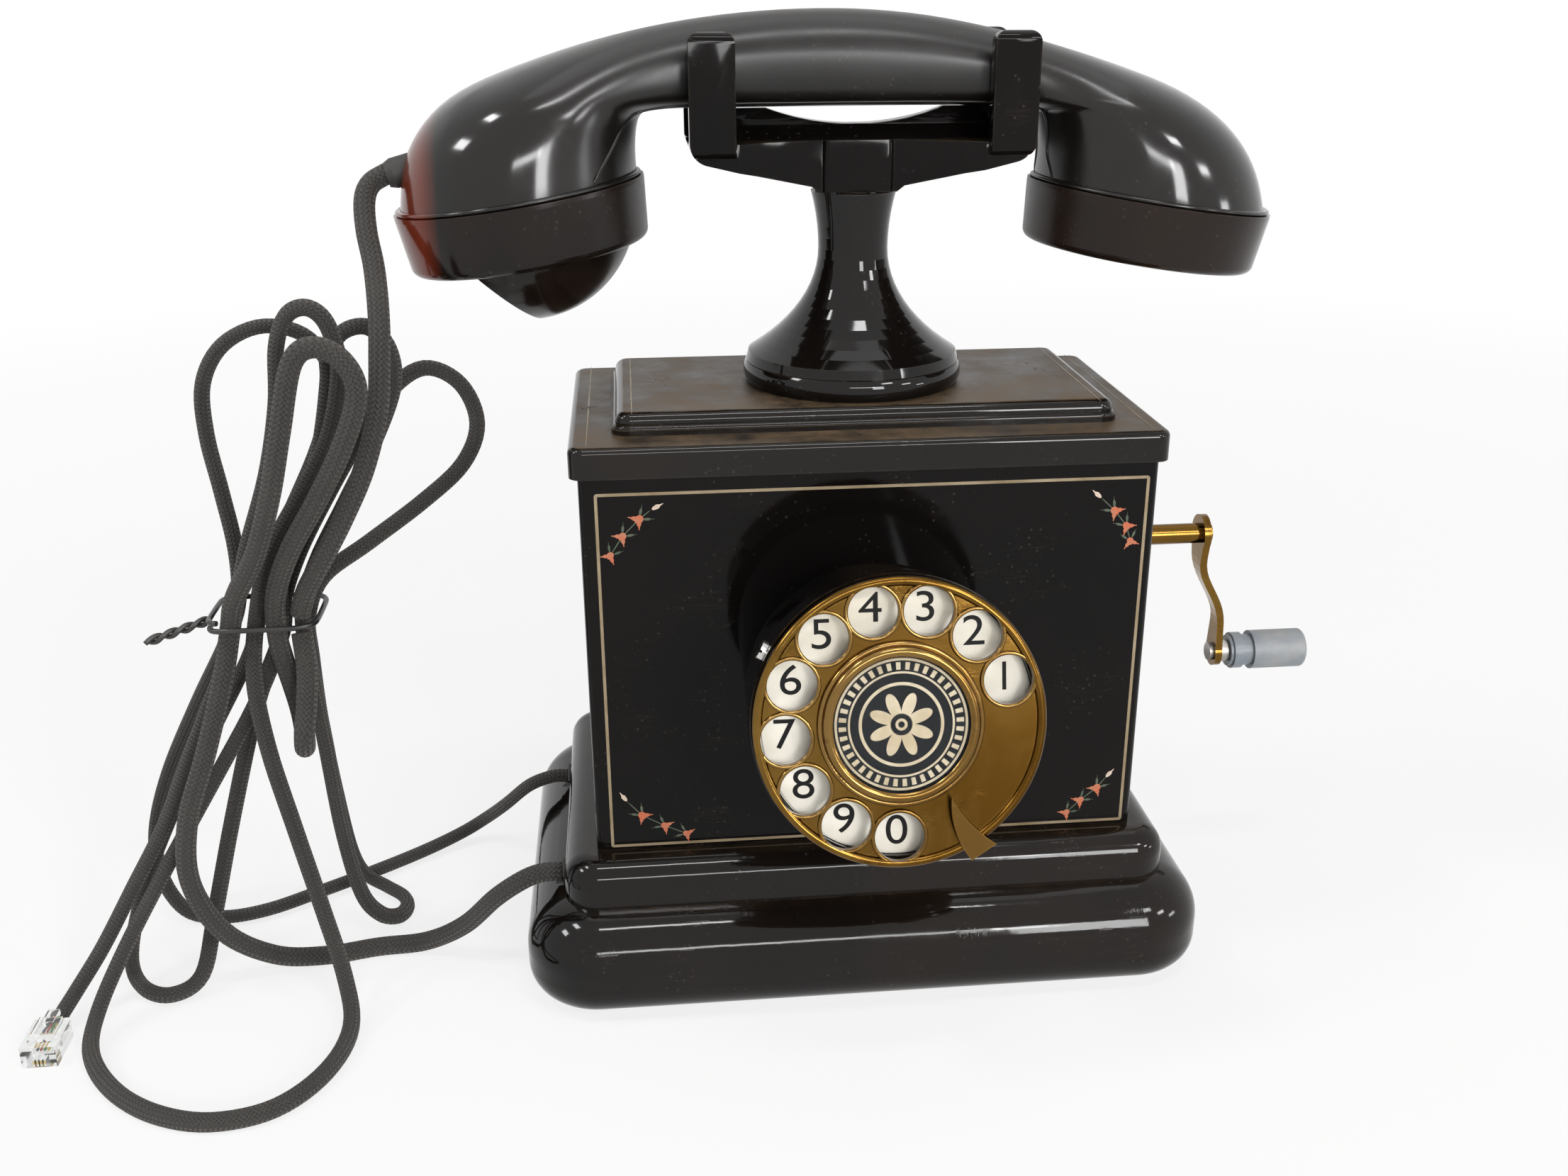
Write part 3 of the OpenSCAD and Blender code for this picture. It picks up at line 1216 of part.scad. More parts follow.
line_route = [
    [-91.6, 23, 35], [-97, 23, 35], [-105, 25, 31], [-114, 33, 20], [-122, 42, 10], [-131, 42, 4.5],
    [-143, 34, 2.8], [-158, 23, 2.5], [-174, 12, 2.5], [-190, 2, 2.5], [-204, -1, 2.5],
    [-216, 2, 4], [-224, 8, 14], [-224, 10, 30], [-216, 7, 52], [-201, -2, 80], [-187, -11, 104],
    [-181, -15, 118], [-181, -11, 132], [-184, -6, 148], [-187, -2, 164], [-186, -2, 179],
    [-179, -2, 190], [-167, -2, 195], [-155, -2, 191], [-150, -2, 178], [-156, -3, 160],
    [-165, -7, 142], [-171, -11.5, 130], [-174.6, -15, 117], [-180, -14, 101], [-193, -14, 78],
    [-208, -16, 52], [-219, -22, 28], [-223, -31, 10], [-218, -40, 4.4], [-209, -43, 3],
    [-201, -38, 6], [-197, -30, 22], [-190, -22, 50], [-180, -16, 84], [-170, -15, 107],
    [-168.2, -15, 118], [-163, -10, 131], [-155, -1, 145], [-146, 5, 159], [-136, 6, 173],
    [-125, 6, 180], [-115, 6, 175], [-111, 6, 163], [-116, 5, 151], [-128, 1, 141], [-144, -6, 131],
    [-157, -12, 123], [-162, -15, 112], [-163, -12, 98], [-164, -6, 74], [-164, 2, 46],
    [-163, 9, 20], [-160, 12, 8], [-153, 10, 3.8], [-147, 5, 2.8], [-145, -1, 2.5], [-147, -7, 3],
    [-152, -10, 6], [-157, -11, 15], [-160, -13, 38], [-161, -17, 70], [-162, -20, 98],
    [-161.8, -21.5, 116], [-157, -19, 130], [-148, -14, 146], [-139, -11, 162], [-132, -10, 178],
    [-132, -10, 189], [-137, -10, 195.5], [-144, -10, 194.5], [-149, -10, 188], [-150, -10, 180],
    [-154, -11, 162], [-161, -14, 142], [-167, -19, 126], [-168.2, -21.5, 114], [-171, -22, 103],
    [-179, -24, 87], [-192, -28, 66], [-207, -35, 42], [-220, -44, 20], [-226, -56, 7],
    [-224, -70, 3.4], [-214, -85, 2.7], [-200, -96, 2.5], [-184, -101, 2.5], [-168, -97, 2.5],
    [-157, -83, 2.5], [-153, -65, 3.5], [-156, -52, 12], [-162, -43, 30], [-168, -38, 54],
    [-173, -36, 80], [-175.5, -31, 100], [-174.6, -22, 116], [-169, -22, 134], [-160, -20, 149],
    [-150, -18, 166], [-145, -18, 184], [-145.5, -18, 194], [-148, -18, 200.5], [-152.5, -18, 203],
    [-157.5, -18, 200.5], [-161, -18, 192], [-163, -18, 176], [-168, -18.5, 156], [-176, -20, 134],
    [-181, -21.5, 116], [-186, -24, 100], [-196, -28, 78], [-207, -31, 54], [-218, -34, 35],
    [-228, -38, 18], [-235, -44, 8], [-238, -51, 4.2], [-238.4, -56, 3.5]
];

// Points along a smooth curve through the route, n for each stretch between two of its points
function smooth_route(p, n) = let (m = len(p), q = [2 * p[0] - p[1], each p, 2 * p[m - 1] - p[m - 2]])
    [for (i = [0:m - 2], k = [0:n - 1]) smooth_point(q[i], q[i + 1], q[i + 2], q[i + 3], k / n), p[m - 1]];
function smooth_point(a, b, c, d, t) =
    (2 * b + (c - a) * t + (2 * a - 5 * b + 4 * c - d) * t * t + (3 * b - a - 3 * c + d) * t * t * t) / 2;
// Least gap of a tube of diameter d to itself, measured between points at least skip apart
function least_gap(p, d, skip) =
    min([for (i = [0:len(p) - 1 - skip], j = [i + skip:len(p) - 1]) norm(p[i] - p[j])]) - d;

module cord(route, d, name) {
    echo(str("least gap of the ", name, " to itself, mm: "), least_gap(smooth_route(route, 4), d, 8));
    tube(smooth_route(route, 2), d / 2, 8);
}

module handset_cord_drop() color(rubber) cord(drop_route, cord_d, "handset cord's drop");
module handset_cord() color(rubber) cord(handset_route, cord_d, "handset cord");
module line_cord() color(rubber) cord(line_route, line_d, "line cord");

// The tie: a wire wound once and a bit more round the waist of the hank, and two twisted ends
function tie_point(i) = let (a = 192 + 12 * i)
    [-171.4 + 15 * spow(cos(a), 0.34), -21.4 + 11.8 * spow(sin(a), 0.34), tie_z + 0.08 * i];
module cord_tie() color(rubber) tube([for (i = [0:tie_rings]) tie_point(i)], tie_wire_r, 6);

// The modular plug lies on the table at the line cord's end
plug_w = 9.65;
plug_h = 6.6;
plug_len = 13.4;
module modular_plug() color([0.85, 0.85, 0.8]) translate(plug_at) rotate([90, 0, 0]) difference() {
    union() {
        translate([-plug_w / 2, -plug_at[2] + 0.1, 0.3]) cube([plug_w, plug_h, plug_len]);
        translate([-3.2, plug_h - plug_at[2], 1]) cube([6.4, 1.2, plug_len - 3]);
        translate([-1.6, plug_h - plug_at[2], -2]) cube([3.2, 1.6, 6]);
    }
    translate([-2.9, -1.7, -1]) cube([5.8, 3.4, 8]);
    for (i = [0:3]) translate([-2.1 + 1.02 * i, -plug_at[2] - 1, 8.3]) cube([0.6, 3, 4.6]);
}
module plug_contacts() color(brass) translate(plug_at) rotate([90, 0, 0])
    for (i = [0:3]) translate([-2.05 + 1.02 * i, -plug_at[2] + 0.6, 8.4]) cube([0.5, 1.35, 4.4]);

base_plinth();
bottom_plate();
rubber_feet();
bottom_screws();
case_body();
case_screws();
lid();
lid_screws();
pedestal();
pedestal_nut();
dial_housing();
housing_screws();
dial_side_screw();
dial_frame();
number_plate();
finger_stop();
crank_bushing();
magnets();
pole_pieces();
magneto_end_plates();
ringer_frame();
ringer_coils();
gong_left();
gong_right();
induction_coil();
capacitor();
terminal_block();
handset_cord_gland();
line_cord_gland();
hook_switch();
cradle_yoke();
cradle_stem();
return_spring();
handset_shell();
transmitter_cap();
receiver_cap();
transmitter_capsule();
receiver_capsule();
handset_grommet();
finger_wheel();
card_ring();
centre_card();
card_window();
dial_shaft();
dial_gear();
dial_spring();
impulse_wheel();
crank_shaft();
crank_arm();
drive_gear();
knob_pin();
crank_knob();
armature();
clapper();
handset_cord_drop();
handset_cord();
line_cord();
cord_tie();
modular_plug();
plug_contacts();
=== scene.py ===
# %% [markdown]
# # A desk telephone with a rotary dial
# The solid parts of the telephone come ready made, packed as one frame with moving bodies.
# This lesson dresses them: it adds the cords, the painted lines and flowers, the numerals and the
# smooth handset, and gives every part a material made from nodes.
# Loading comes first, because each new piece is placed by the sizes of the frame.

# %% Load the frame
import json
import math

import bmesh
import bpy
from mathutils import Matrix, Vector


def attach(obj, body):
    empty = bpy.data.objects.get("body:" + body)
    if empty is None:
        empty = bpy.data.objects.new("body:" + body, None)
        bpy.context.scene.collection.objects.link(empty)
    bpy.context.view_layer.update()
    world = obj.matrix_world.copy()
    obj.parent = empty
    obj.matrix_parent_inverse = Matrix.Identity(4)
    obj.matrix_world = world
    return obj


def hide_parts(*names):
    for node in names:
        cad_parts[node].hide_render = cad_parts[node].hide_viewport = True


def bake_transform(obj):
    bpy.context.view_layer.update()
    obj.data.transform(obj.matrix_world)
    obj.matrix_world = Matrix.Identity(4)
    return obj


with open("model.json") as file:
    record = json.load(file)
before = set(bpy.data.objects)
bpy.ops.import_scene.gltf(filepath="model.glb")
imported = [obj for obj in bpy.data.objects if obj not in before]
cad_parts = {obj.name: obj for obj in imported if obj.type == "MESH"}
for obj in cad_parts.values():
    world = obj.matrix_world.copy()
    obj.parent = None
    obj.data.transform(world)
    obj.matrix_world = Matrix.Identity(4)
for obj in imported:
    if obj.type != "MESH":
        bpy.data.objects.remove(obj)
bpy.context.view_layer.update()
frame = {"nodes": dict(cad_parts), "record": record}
NODES = frame["nodes"]
MM = 0.001


# %% [markdown]
# ## The camera
# A photograph fixes where the camera stood. Its place and turn were worked out from the straight
# edges of the case, so the render can be laid over the photograph.
# A matrix of three directions turns the camera, which is exact.

# %% Place the camera
CAMERA_AT = Vector((-0.06412, -0.44601, 0.28346))
CAMERA_YAW = math.radians(5.61)
CAMERA_PITCH = math.radians(21.28)
CAMERA_ROLL = math.radians(-0.24)
SENSOR = 36
LENS = 35.48
ahead = Vector((math.sin(CAMERA_YAW) * math.cos(CAMERA_PITCH),
                math.cos(CAMERA_YAW) * math.cos(CAMERA_PITCH), -math.sin(CAMERA_PITCH)))
level_right = ahead.cross(Vector((0, 0, 1))).normalized()
level_up = level_right.cross(ahead)
right = math.cos(CAMERA_ROLL) * level_right + math.sin(CAMERA_ROLL) * level_up
up = math.cos(CAMERA_ROLL) * level_up - math.sin(CAMERA_ROLL) * level_right
bpy.ops.object.camera_add(location=CAMERA_AT)
camera = bpy.context.object
camera.matrix_world = Matrix.Translation(CAMERA_AT) @ Matrix((right, up, -ahead)).transposed().to_4x4()
camera.data.sensor_width = SENSOR
camera.data.lens = LENS
camera.data.clip_start = 0.01
bpy.context.scene.camera = camera
print("camera at", [round(v, 3) for v in camera.location])


# %% [markdown]
# ## Cords
# The cords are cotton braid over rubber. They leave the base on its left, and the spare length is
# gathered in a hank with a wire tie at its waist. A cord could be a curve with a round bevel, but a
# mesh tube can carry its own UV map: u goes round the cord and v along it, so the braid follows
# every bend. The routes are the same points that the solid cords were made from.

# %% Routes of the cords, in millimetres
DROP_D = 5.8
LINE_W = 5.2
LINE_T = 4.2
DROP_ROUTE = [
    (-129.1, -1.9, 236.2), (-133.6, -3.5, 233.6), (-135.3, -6.2, 229.4), (-134.8, -11, 222),
    (-132.8, -17, 213), (-131.5, -25, 203), (-131.5, -30, 193), (-133, -33, 178), (-138, -34, 162),
    (-145, -34, 148), (-152, -33, 136), (-158, -30, 126), (-161.2, -28, 118),
]
HANDSET_ROUTE = [
    (-91.6, -38, 35), (-97, -38, 35), (-103, -38, 33), (-112, -36, 26), (-123, -30, 13),
    (-136, -24, 4), (-151, -24, 2.9), (-167, -27, 2.9), (-181, -31, 7), (-193, -37, 20),
    (-199, -41, 40), (-197, -41, 60), (-190, -38, 80), (-184, -32, 100), (-181, -28, 114),
    (-178, -30, 124), (-170, -34, 138), (-163, -38, 156), (-158, -39, 174), (-153, -39, 192),
    (-147, -39, 196.5), (-140, -39, 193), (-137, -39, 184), (-142, -39, 170), (-151, -37, 154),
    (-161, -33, 138), (-167, -29, 124), (-168.2, -28, 112), (-167.8, -26.4, 104), (-166.6, -25, 95),
    (-165.4, -25, 87.5), (-164.4, -27, 81.5), (-163.2, -33, 79), (-162, -39, 81.5), (-161, -41, 87.5),
    (-160.4, -37, 94), (-160.6, -31, 102), (-161.4, -28, 112),
]
LINE_ROUTE = [
    (-91.6, 23, 35), (-97, 23, 35), (-105, 25, 31), (-114, 33, 20), (-122, 42, 10), (-131, 42, 4.5),
    (-143, 34, 2.8), (-158, 23, 2.5), (-174, 12, 2.5), (-190, 2, 2.5), (-204, -1, 2.5), (-216, 2, 4),
    (-224, 8, 14), (-224, 10, 30), (-216, 7, 52), (-201, -2, 80), (-187, -11, 104), (-181, -15, 118),
    (-181, -11, 132), (-184, -6, 148), (-187, -2, 164), (-186, -2, 179), (-179, -2, 190),
    (-167, -2, 195), (-155, -2, 191), (-150, -2, 178), (-156, -3, 160), (-165, -7, 142),
    (-171, -11.5, 130), (-174.6, -15, 117), (-180, -14, 101), (-193, -14, 78), (-208, -16, 52),
    (-219, -22, 28), (-223, -31, 10), (-218, -40, 4.4), (-209, -43, 3), (-201, -38, 6),
    (-197, -30, 22), (-190, -22, 50), (-180, -16, 84), (-170, -15, 107), (-168.2, -15, 118),
    (-163, -10, 131), (-155, -1, 145), (-146, 5, 159), (-136, 6, 173), (-125, 6, 180), (-115, 6, 175),
    (-111, 6, 163), (-116, 5, 151), (-128, 1, 141), (-144, -6, 131), (-157, -12, 123),
    (-162, -15, 112), (-163, -12, 98), (-164, -6, 74), (-164, 2, 46), (-163, 9, 20), (-160, 12, 8),
    (-153, 10, 3.8), (-147, 5, 2.8), (-145, -1, 2.5), (-147, -7, 3), (-152, -10, 6), (-157, -11, 15),
    (-160, -13, 38), (-161, -17, 70), (-162, -20, 98), (-161.8, -21.5, 116), (-157, -19, 130),
    (-148, -14, 146), (-139, -11, 162), (-132, -10, 178), (-132, -10, 189), (-137, -10, 195.5),
    (-144, -10, 194.5), (-149, -10, 188), (-150, -10, 180), (-154, -11, 162), (-161, -14, 142),
    (-167, -19, 126), (-168.2, -21.5, 114), (-171, -22, 103), (-179, -24, 87), (-192, -28, 66),
    (-207, -35, 42), (-220, -44, 20), (-226, -56, 7), (-224, -70, 3.4), (-214, -85, 2.7),
    (-200, -96, 2.5), (-184, -101, 2.5), (-168, -97, 2.5), (-157, -83, 2.5), (-153, -65, 3.5),
    (-156, -52, 12), (-162, -43, 30), (-168, -38, 54), (-173, -36, 80), (-175.5, -31, 100),
    (-174.6, -22, 116), (-169, -22, 134), (-160, -20, 149), (-150, -18, 166), (-145, -18, 184),
    (-145.5, -18, 194), (-148, -18, 200.5), (-152.5, -18, 203), (-157.5, -18, 200.5), (-161, -18, 192),
    (-163, -18, 176), (-168, -18.5, 156), (-176, -20, 134), (-181, -21.5, 116), (-186, -24, 100),
    (-196, -28, 78), (-207, -31, 54), (-218, -34, 35), (-228, -38, 18), (-235, -44, 8),
    (-238, -51, 4.2), (-238.4, -56, 3.5),
]


# %% A smooth line through a route
def smooth(route, steps):
    """Points along one smooth curve through the route's points, in metres."""
    points = [Vector(p) * MM for p in route]
    points = [2 * points[0] - points[1]] + points + [2 * points[-1] - points[-2]]
    line = []
    for a, b, c, d in zip(points, points[1:], points[2:], points[3:]):
        for step in range(steps):
            t = step / steps
            line.append((2 * b + (c - a) * t + (2 * a - 5 * b + 4 * c - d) * t * t
                         + (3 * b - a - 3 * c + d) * t ** 3) / 2)
    line.append(points[-2])
    return line


def length_of(line):
    return sum((b - a).length for a, b in zip(line, line[1:]))


# %% A tube with a UV map
def braided_tube(name, line, width, thick, sides=16):
    """A closed tube along the line, oval where width and thick differ. One unit of v is one turn of u."""
    mesh = bpy.data.meshes.new(name)
    piece = bpy.data.objects.new(name, mesh)
    bpy.context.scene.collection.objects.link(piece)
    shape = bmesh.new()
    uv_map = shape.loops.layers.uv.new("along")
    around = math.pi * (width + thick) / 2
    turns = [2 * math.pi * k / sides for k in range(sides)]
    side, rings, along = None, [], [0.0]
    for i, point in enumerate(line):
        direction = (line[min(i + 1, len(line) - 1)] - line[max(i - 1, 0)]).normalized()
        if side is None:
            side = direction.cross(Vector((0, 0, 1))).normalized()
        side = (side - side.dot(direction) * direction).normalized()
        other = direction.cross(side)
        if i:
            along.append(along[-1] + (point - line[i - 1]).length / around)
        rings.append([shape.verts.new(point + side * math.cos(a) * width / 2
                                      + other * math.sin(a) * thick / 2) for a in turns])
    for i in range(len(rings) - 1):
        for k in range(sides):
            n = (k + 1) % sides
            face = shape.faces.new((rings[i][k], rings[i][n], rings[i + 1][n], rings[i + 1][k]))
            corners = ((k, i), (k + 1, i), (k + 1, i + 1), (k, i + 1))
            for loop, (u, v) in zip(face.loops, corners):
                loop[uv_map].uv = (u / sides, along[v])
            face.smooth = True
    shape.faces.new(list(reversed(rings[0])))
    shape.faces.new(rings[-1])
    bmesh.ops.recalc_face_normals(shape, faces=shape.faces)
    shape.to_mesh(mesh)
    shape.free()
    return piece


# %% Make the three cords
drop_line = smooth(DROP_ROUTE, steps=8)
handset_line = smooth(HANDSET_ROUTE, steps=8)
line_line = smooth(LINE_ROUTE, steps=6)
drop_cord = braided_tube("cord_drop_braid", drop_line, DROP_D * MM, DROP_D * MM)
handset_cord = braided_tube("handset_cord_braid", handset_line, DROP_D * MM, DROP_D * MM)
line_cord = braided_tube("line_cord_braid", line_line, LINE_W * MM, LINE_T * MM)
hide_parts("handset_cord_drop")
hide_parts("handset_cord")
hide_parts("line_cord")
for piece in (handset_cord, line_cord):
    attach(piece, "case")
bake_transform(drop_cord)
for line, name in ((drop_line, "drop"), (handset_line, "handset cord"), (line_line, "line cord")):
    print(name, "is", round(length_of(line), 3), "m long")


# %% [markdown]
# ## The wires in the plug
# The wires inside the clear plug are four short tubes, made here because they go with the cord.

# %% The four wires in the plug
def short_tube(name, points, radius, sides=8):
    """A thin round tube through points given in millimetres."""
    return braided_tube(name, smooth(points, steps=3), 2 * radius * MM, 2 * radius * MM, sides)


PLUG_X = -238.5
WIRE_PITCH = 1.02
WIRE_R = 0.36
plug_wires = []
for i in range(4):
    x = PLUG_X - 1.8 + WIRE_PITCH * i
    points = [(PLUG_X + (i - 1.5) * 0.5, -55.4, 3.4), (x, -58.2, 2.9), (x, -61.0, 2.7), (x, -62.6, 2.8)]
    plug_wires.append(short_tube("plug_wire_%d" % (i + 1), points, WIRE_R))

for wire in plug_wires:
    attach(wire, "case")


# %% [markdown]
# ## Helpers for modelling
# The next pieces are modelled as by hand: a primitive is added, shaped in edit mode, and its place
# is put in its mesh. Everything is deselected first, because an operator acts on all that is
# selected, and the loaded parts still are.

# %% Start, shape and place a piece
def start(name, operator, **sizes):
    """Adds one primitive by its operator, with nothing else selected, and names it."""
    bpy.ops.object.select_all(action="DESELECT")
    operator(**sizes)
    piece = bpy.context.object
    piece.name = name
    return piece


def edit(piece):
    bpy.ops.object.select_all(action="DESELECT")
    bpy.context.view_layer.objects.active = piece
    piece.select_set(True)
    bpy.ops.object.mode_set(mode="EDIT")
    bpy.ops.mesh.select_all(action="SELECT")


def done():
    bpy.ops.object.mode_set(mode="OBJECT")


def flatten(factors):
    """Scales what is selected in edit mode about the piece's own middle."""
    bpy.ops.transform.resize(value=factors, center_override=(0, 0, 0))


def thicken(depth):
    """Pulls what is selected in edit mode out along local z, by metres."""
    bpy.ops.mesh.extrude_region_move(TRANSFORM_OT_translate={"value": (0, 0, depth)})


def ring(name, radius, thick, flat, around):
    """A ring round local z, in millimetres, pressed flat by a factor."""
    piece = start(name, bpy.ops.mesh.primitive_torus_add, major_radius=radius * MM,
                  minor_radius=thick * MM, major_segments=around, minor_segments=10)
    edit(piece)
    flatten((1, 1, flat))
    done()
    return piece


def place(piece, matrix):
    """Puts the piece's place in its mesh, so that its object stays at the origin."""
    piece.data.transform(matrix)
    piece.matrix_world = Matrix.Identity(4)
    return piece


def axes(middle, across, upward):
    """The matrix that lays local x along across, local y along upward, about a middle in millimetres."""
    across, upward = Vector(across).normalized(), Vector(upward).normalized()
    turned = Matrix((across, upward, across.cross(upward))).transposed().to_4x4()
    return Matrix.Translation(Vector(middle) * MM) @ turned


def join(pieces, name):
    bpy.ops.object.select_all(action="DESELECT")
    for piece in pieces:
        piece.select_set(True)
    bpy.context.view_layer.objects.active = pieces[0]
    bpy.ops.object.join()
    pieces[0].name = name
    return pieces[0]


def copy_of(node, name):
    """A copy of a solid part, free of its parent and of the frame's notes on it."""
    piece = NODES[node].copy()
    piece.data = piece.data.copy()
    piece.name = name
    piece.parent = None
    for key in list(piece.keys()):
        del piece[key]
    bpy.context.scene.collection.objects.link(piece)
    return piece


# %% [markdown]
# ## The wire tie
# The hank is held by a plastic covered wire, wound once round its waist with its two ends twisted
# together. The winding follows the same rounded rectangle as the solid tie. The twist is two thin
# tubes that turn round one line, which is how the fingers make it.

# %% Wind the tie
TIE_X, TIE_Y, TIE_Z = -171.4, -21.4, 115.0
TIE_REACH_X, TIE_REACH_Y = 15, 11.8
TIE_SQUARENESS = 0.34
TIE_START, TIE_STEP, TIE_RISE, TIE_POINTS = 192, 12, 0.08, 35
TIE_R, END_R = 0.8, 0.75
TWIST_R, TWIST_TURN, TWIST_POINTS = 0.85, 1.15, 12


def squared(value):
    """Pushes a cosine or a sine outwards: a circle becomes a rounded rectangle."""
    return math.copysign(abs(value) ** TIE_SQUARENESS, value)


def tie_point(i):
    turn = math.radians(TIE_START + TIE_STEP * i)
    return (TIE_X + TIE_REACH_X * squared(math.cos(turn)), TIE_Y + TIE_REACH_Y * squared(math.sin(turn)),
            TIE_Z + TIE_RISE * i)


def twist_point(k, phase):
    """A point of one end: a line that runs off to the left, and a circle round it."""
    turn = phase + TWIST_TURN * k
    return (-187.2 - 1.5 * k, -25.2 - 0.5 * k + TWIST_R * math.cos(turn),
            116.0 - 0.35 * k + TWIST_R * math.sin(turn))


winding = short_tube("tie_winding", [tie_point(i) for i in range(TIE_POINTS)], TIE_R, 12)
ends = [short_tube("tie_end_%d" % i, [twist_point(k, phase) for k in range(TWIST_POINTS)], END_R, 10)
        for i, phase in ((1, 0), (2, math.pi))]
join([winding] + ends, "tie_wire")
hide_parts("cord_tie")
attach(winding, "case")
print("the tie is", len(winding.data.polygons), "faces")


# %% [markdown]
# ## Materials: shared effects
# Lacquer, moulding and brass all carry the same kinds of age: smudges, hair scratches, dust and
# bright worn edges. Each effect is one shader node group, built once and placed in a material with
# its own values. A group gives only masks, so each material decides what a mask does to it.
# A socket knows its own tree, so the helpers that work on sockets don't ask for it.

# %% Add and feed shader nodes
def put(node, key, value):
    """Gives an input, by name or number, a plain value or a link from a socket."""
    if isinstance(value, bpy.types.NodeSocket):
        node.id_data.links.new(value, node.inputs[key])
    else:
        node.inputs[key].default_value = value


def feed(node, **values):
    for key, value in values.items():
        put(node, key.replace("_", " "), value)


def add(tree, kind, **values):
    """Adds a shader node. A capital letter names an input, a small one a setting."""
    made = tree.nodes.new(kind)
    for key, value in values.items():
        if key[0].isupper():
            feed(made, **{key: value})
        else:
            setattr(made, key, value)
    return made


def maths(operation, *values, clamp=False):
    """The result of a sum on sockets and numbers, in the tree that the sockets are in."""
    tree = next(value.id_data for value in values if isinstance(value, bpy.types.NodeSocket))
    made = add(tree, "ShaderNodeMath", operation=operation, use_clamp=clamp)
    for i, value in enumerate(values):
        put(made, i, value)
    return made.outputs[0]


def plus(a, b, clamp=False):
    return maths("ADD", a, b, clamp=clamp)


def times(a, b, clamp=False):
    return maths("MULTIPLY", a, b, clamp=clamp)


def remap(value, low, high, to_low=0.0, to_high=1.0):
    made = add(value.id_data, "ShaderNodeMapRange", From_Min=low, From_Max=high, To_Min=to_low,
               To_Max=to_high, Value=value)
    made.clamp = True
    return made.outputs["Result"]


def number_of(vector, letter):
    """One of the three numbers of a vector."""
    return add(vector.id_data, "ShaderNodeSeparateXYZ", Vector=vector).outputs[letter]


def own_place(tree):
    """The place on the piece in its own coordinates, in metres."""
    return add(tree, "ShaderNodeTexCoord").outputs["Object"]


def facing_up(tree, low, high):
    normal = add(tree, "ShaderNodeNewGeometry").outputs["Normal"]
    return remap(number_of(normal, "Z"), low, high)


def mapped(tree, **values):
    """The piece's own place, moved, turned or stretched."""
    return add(tree, "ShaderNodeMapping", Vector=own_place(tree), **values).outputs[0]


def noise(tree, scale, detail=3.0, rough=0.5, distortion=0.0, at=None):
    return add(tree, "ShaderNodeTexNoise", Scale=scale, Detail=detail, Roughness=rough,
               Distortion=distortion, Vector=own_place(tree) if at is None else at).outputs[0]


def group(name, label, value, *outputs):
    """An empty node group with one input, as a socket, and the node that takes its named outputs."""
    tree = bpy.data.node_groups.new(name, "ShaderNodeTree")
    socket = tree.interface.new_socket(label, in_out="INPUT", socket_type="NodeSocketFloat")
    socket.default_value = value
    for output in outputs:
        tree.interface.new_socket(output, in_out="OUTPUT", socket_type="NodeSocketFloat")
    return tree, tree.nodes.new("NodeGroupInput").outputs[label], tree.nodes.new("NodeGroupOutput")


# %% Smudges, hair scratches and specks
age, age_scale, age_out = group("age_marks", "Scale", 1.0, "Smudge", "Scratch", "Speck")
smudge = noise(age, times(age_scale, 34.0), 5.0, 0.62, 0.6)
hairs = []
for turn, stretch in (((0.3, 0.9, 0.5), (1.0, 34.0, 9.0)), ((1.1, -0.4, 1.9), (26.0, 1.0, 14.0))):
    hair = noise(age, 30.0, 2.0, 0.5, 0.35, mapped(age, Rotation=turn, Scale=stretch))
    off_middle = maths("ABSOLUTE", maths("SUBTRACT", hair, 0.5))
    hairs.append(remap(off_middle, 0.0, 0.012, 1.0, 0.0))
broken = noise(age, 60.0, 2.0)
grain = add(age, "ShaderNodeTexVoronoi", Scale=420.0, feature="F1", Vector=own_place(age))
specks = remap(grain.outputs["Distance"], 0.08, 0.2, 1.0, 0.0)
feed(age_out, Smudge=remap(smudge, 0.38, 0.66),
     Scratch=times(maths("MAXIMUM", *hairs), remap(broken, 0.56, 0.66)),
     Speck=times(specks, remap(broken, 0.5, 0.6)))

# %% Worn edges
worn, worn_amount, worn_out = group("worn_edges", "Amount", 1.0, "Edge")
facing = add(worn, "ShaderNodeVectorMath", operation="DOT_PRODUCT")
put(facing, 0, add(worn, "ShaderNodeBevel", samples=6, Radius=0.0009).outputs[0])
put(facing, 1, add(worn, "ShaderNodeNewGeometry").outputs["Normal"])
bend = remap(facing.outputs["Value"], 0.995, 0.9)
mask = times(bend, remap(noise(worn, 90.0, 4.0, 0.7), 0.42, 0.62))
feed(worn_out, Edge=times(mask, worn_amount, clamp=True))

# %% Dust on what faces up; thick on the lid, where it also carries a painted warm reflection
dust, dust_amount, dust_out = group("dust_and_sheen_on_top", "Amount", 1.0, "Dust")
layer = times(facing_up(dust, 0.9, 0.995), remap(noise(dust, 70.0, 6.0, 0.75), 0.3, 0.75))
feed(dust_out, Dust=times(layer, dust_amount, clamp=True))

# %% Braid, for the cords
braid, strands, braid_out = group("braid", "Strands", 12.0, "Height", "Fray")
uv = add(braid, "ShaderNodeUVMap", uv_map="along").outputs[0]
ways = [times(maths("MULTIPLY_ADD", number_of(uv, "Y"), sign, number_of(uv, "X")), strands)
        for sign in (1.0, -1.0)]
humps = [maths("ABSOLUTE", maths("SINE", times(way, math.pi))) for way in ways]
squares = plus(*[maths("FLOOR", way) for way in ways])
over = maths("ABSOLUTE", maths("MODULO", squares, 2.0))
under = maths("SUBTRACT", 1.0, over)
feed(braid_out, Height=plus(times(humps[0], over), times(humps[1], under)), Fray=noise(braid, 2600.0))
print("node groups:", len(bpy.data.node_groups))


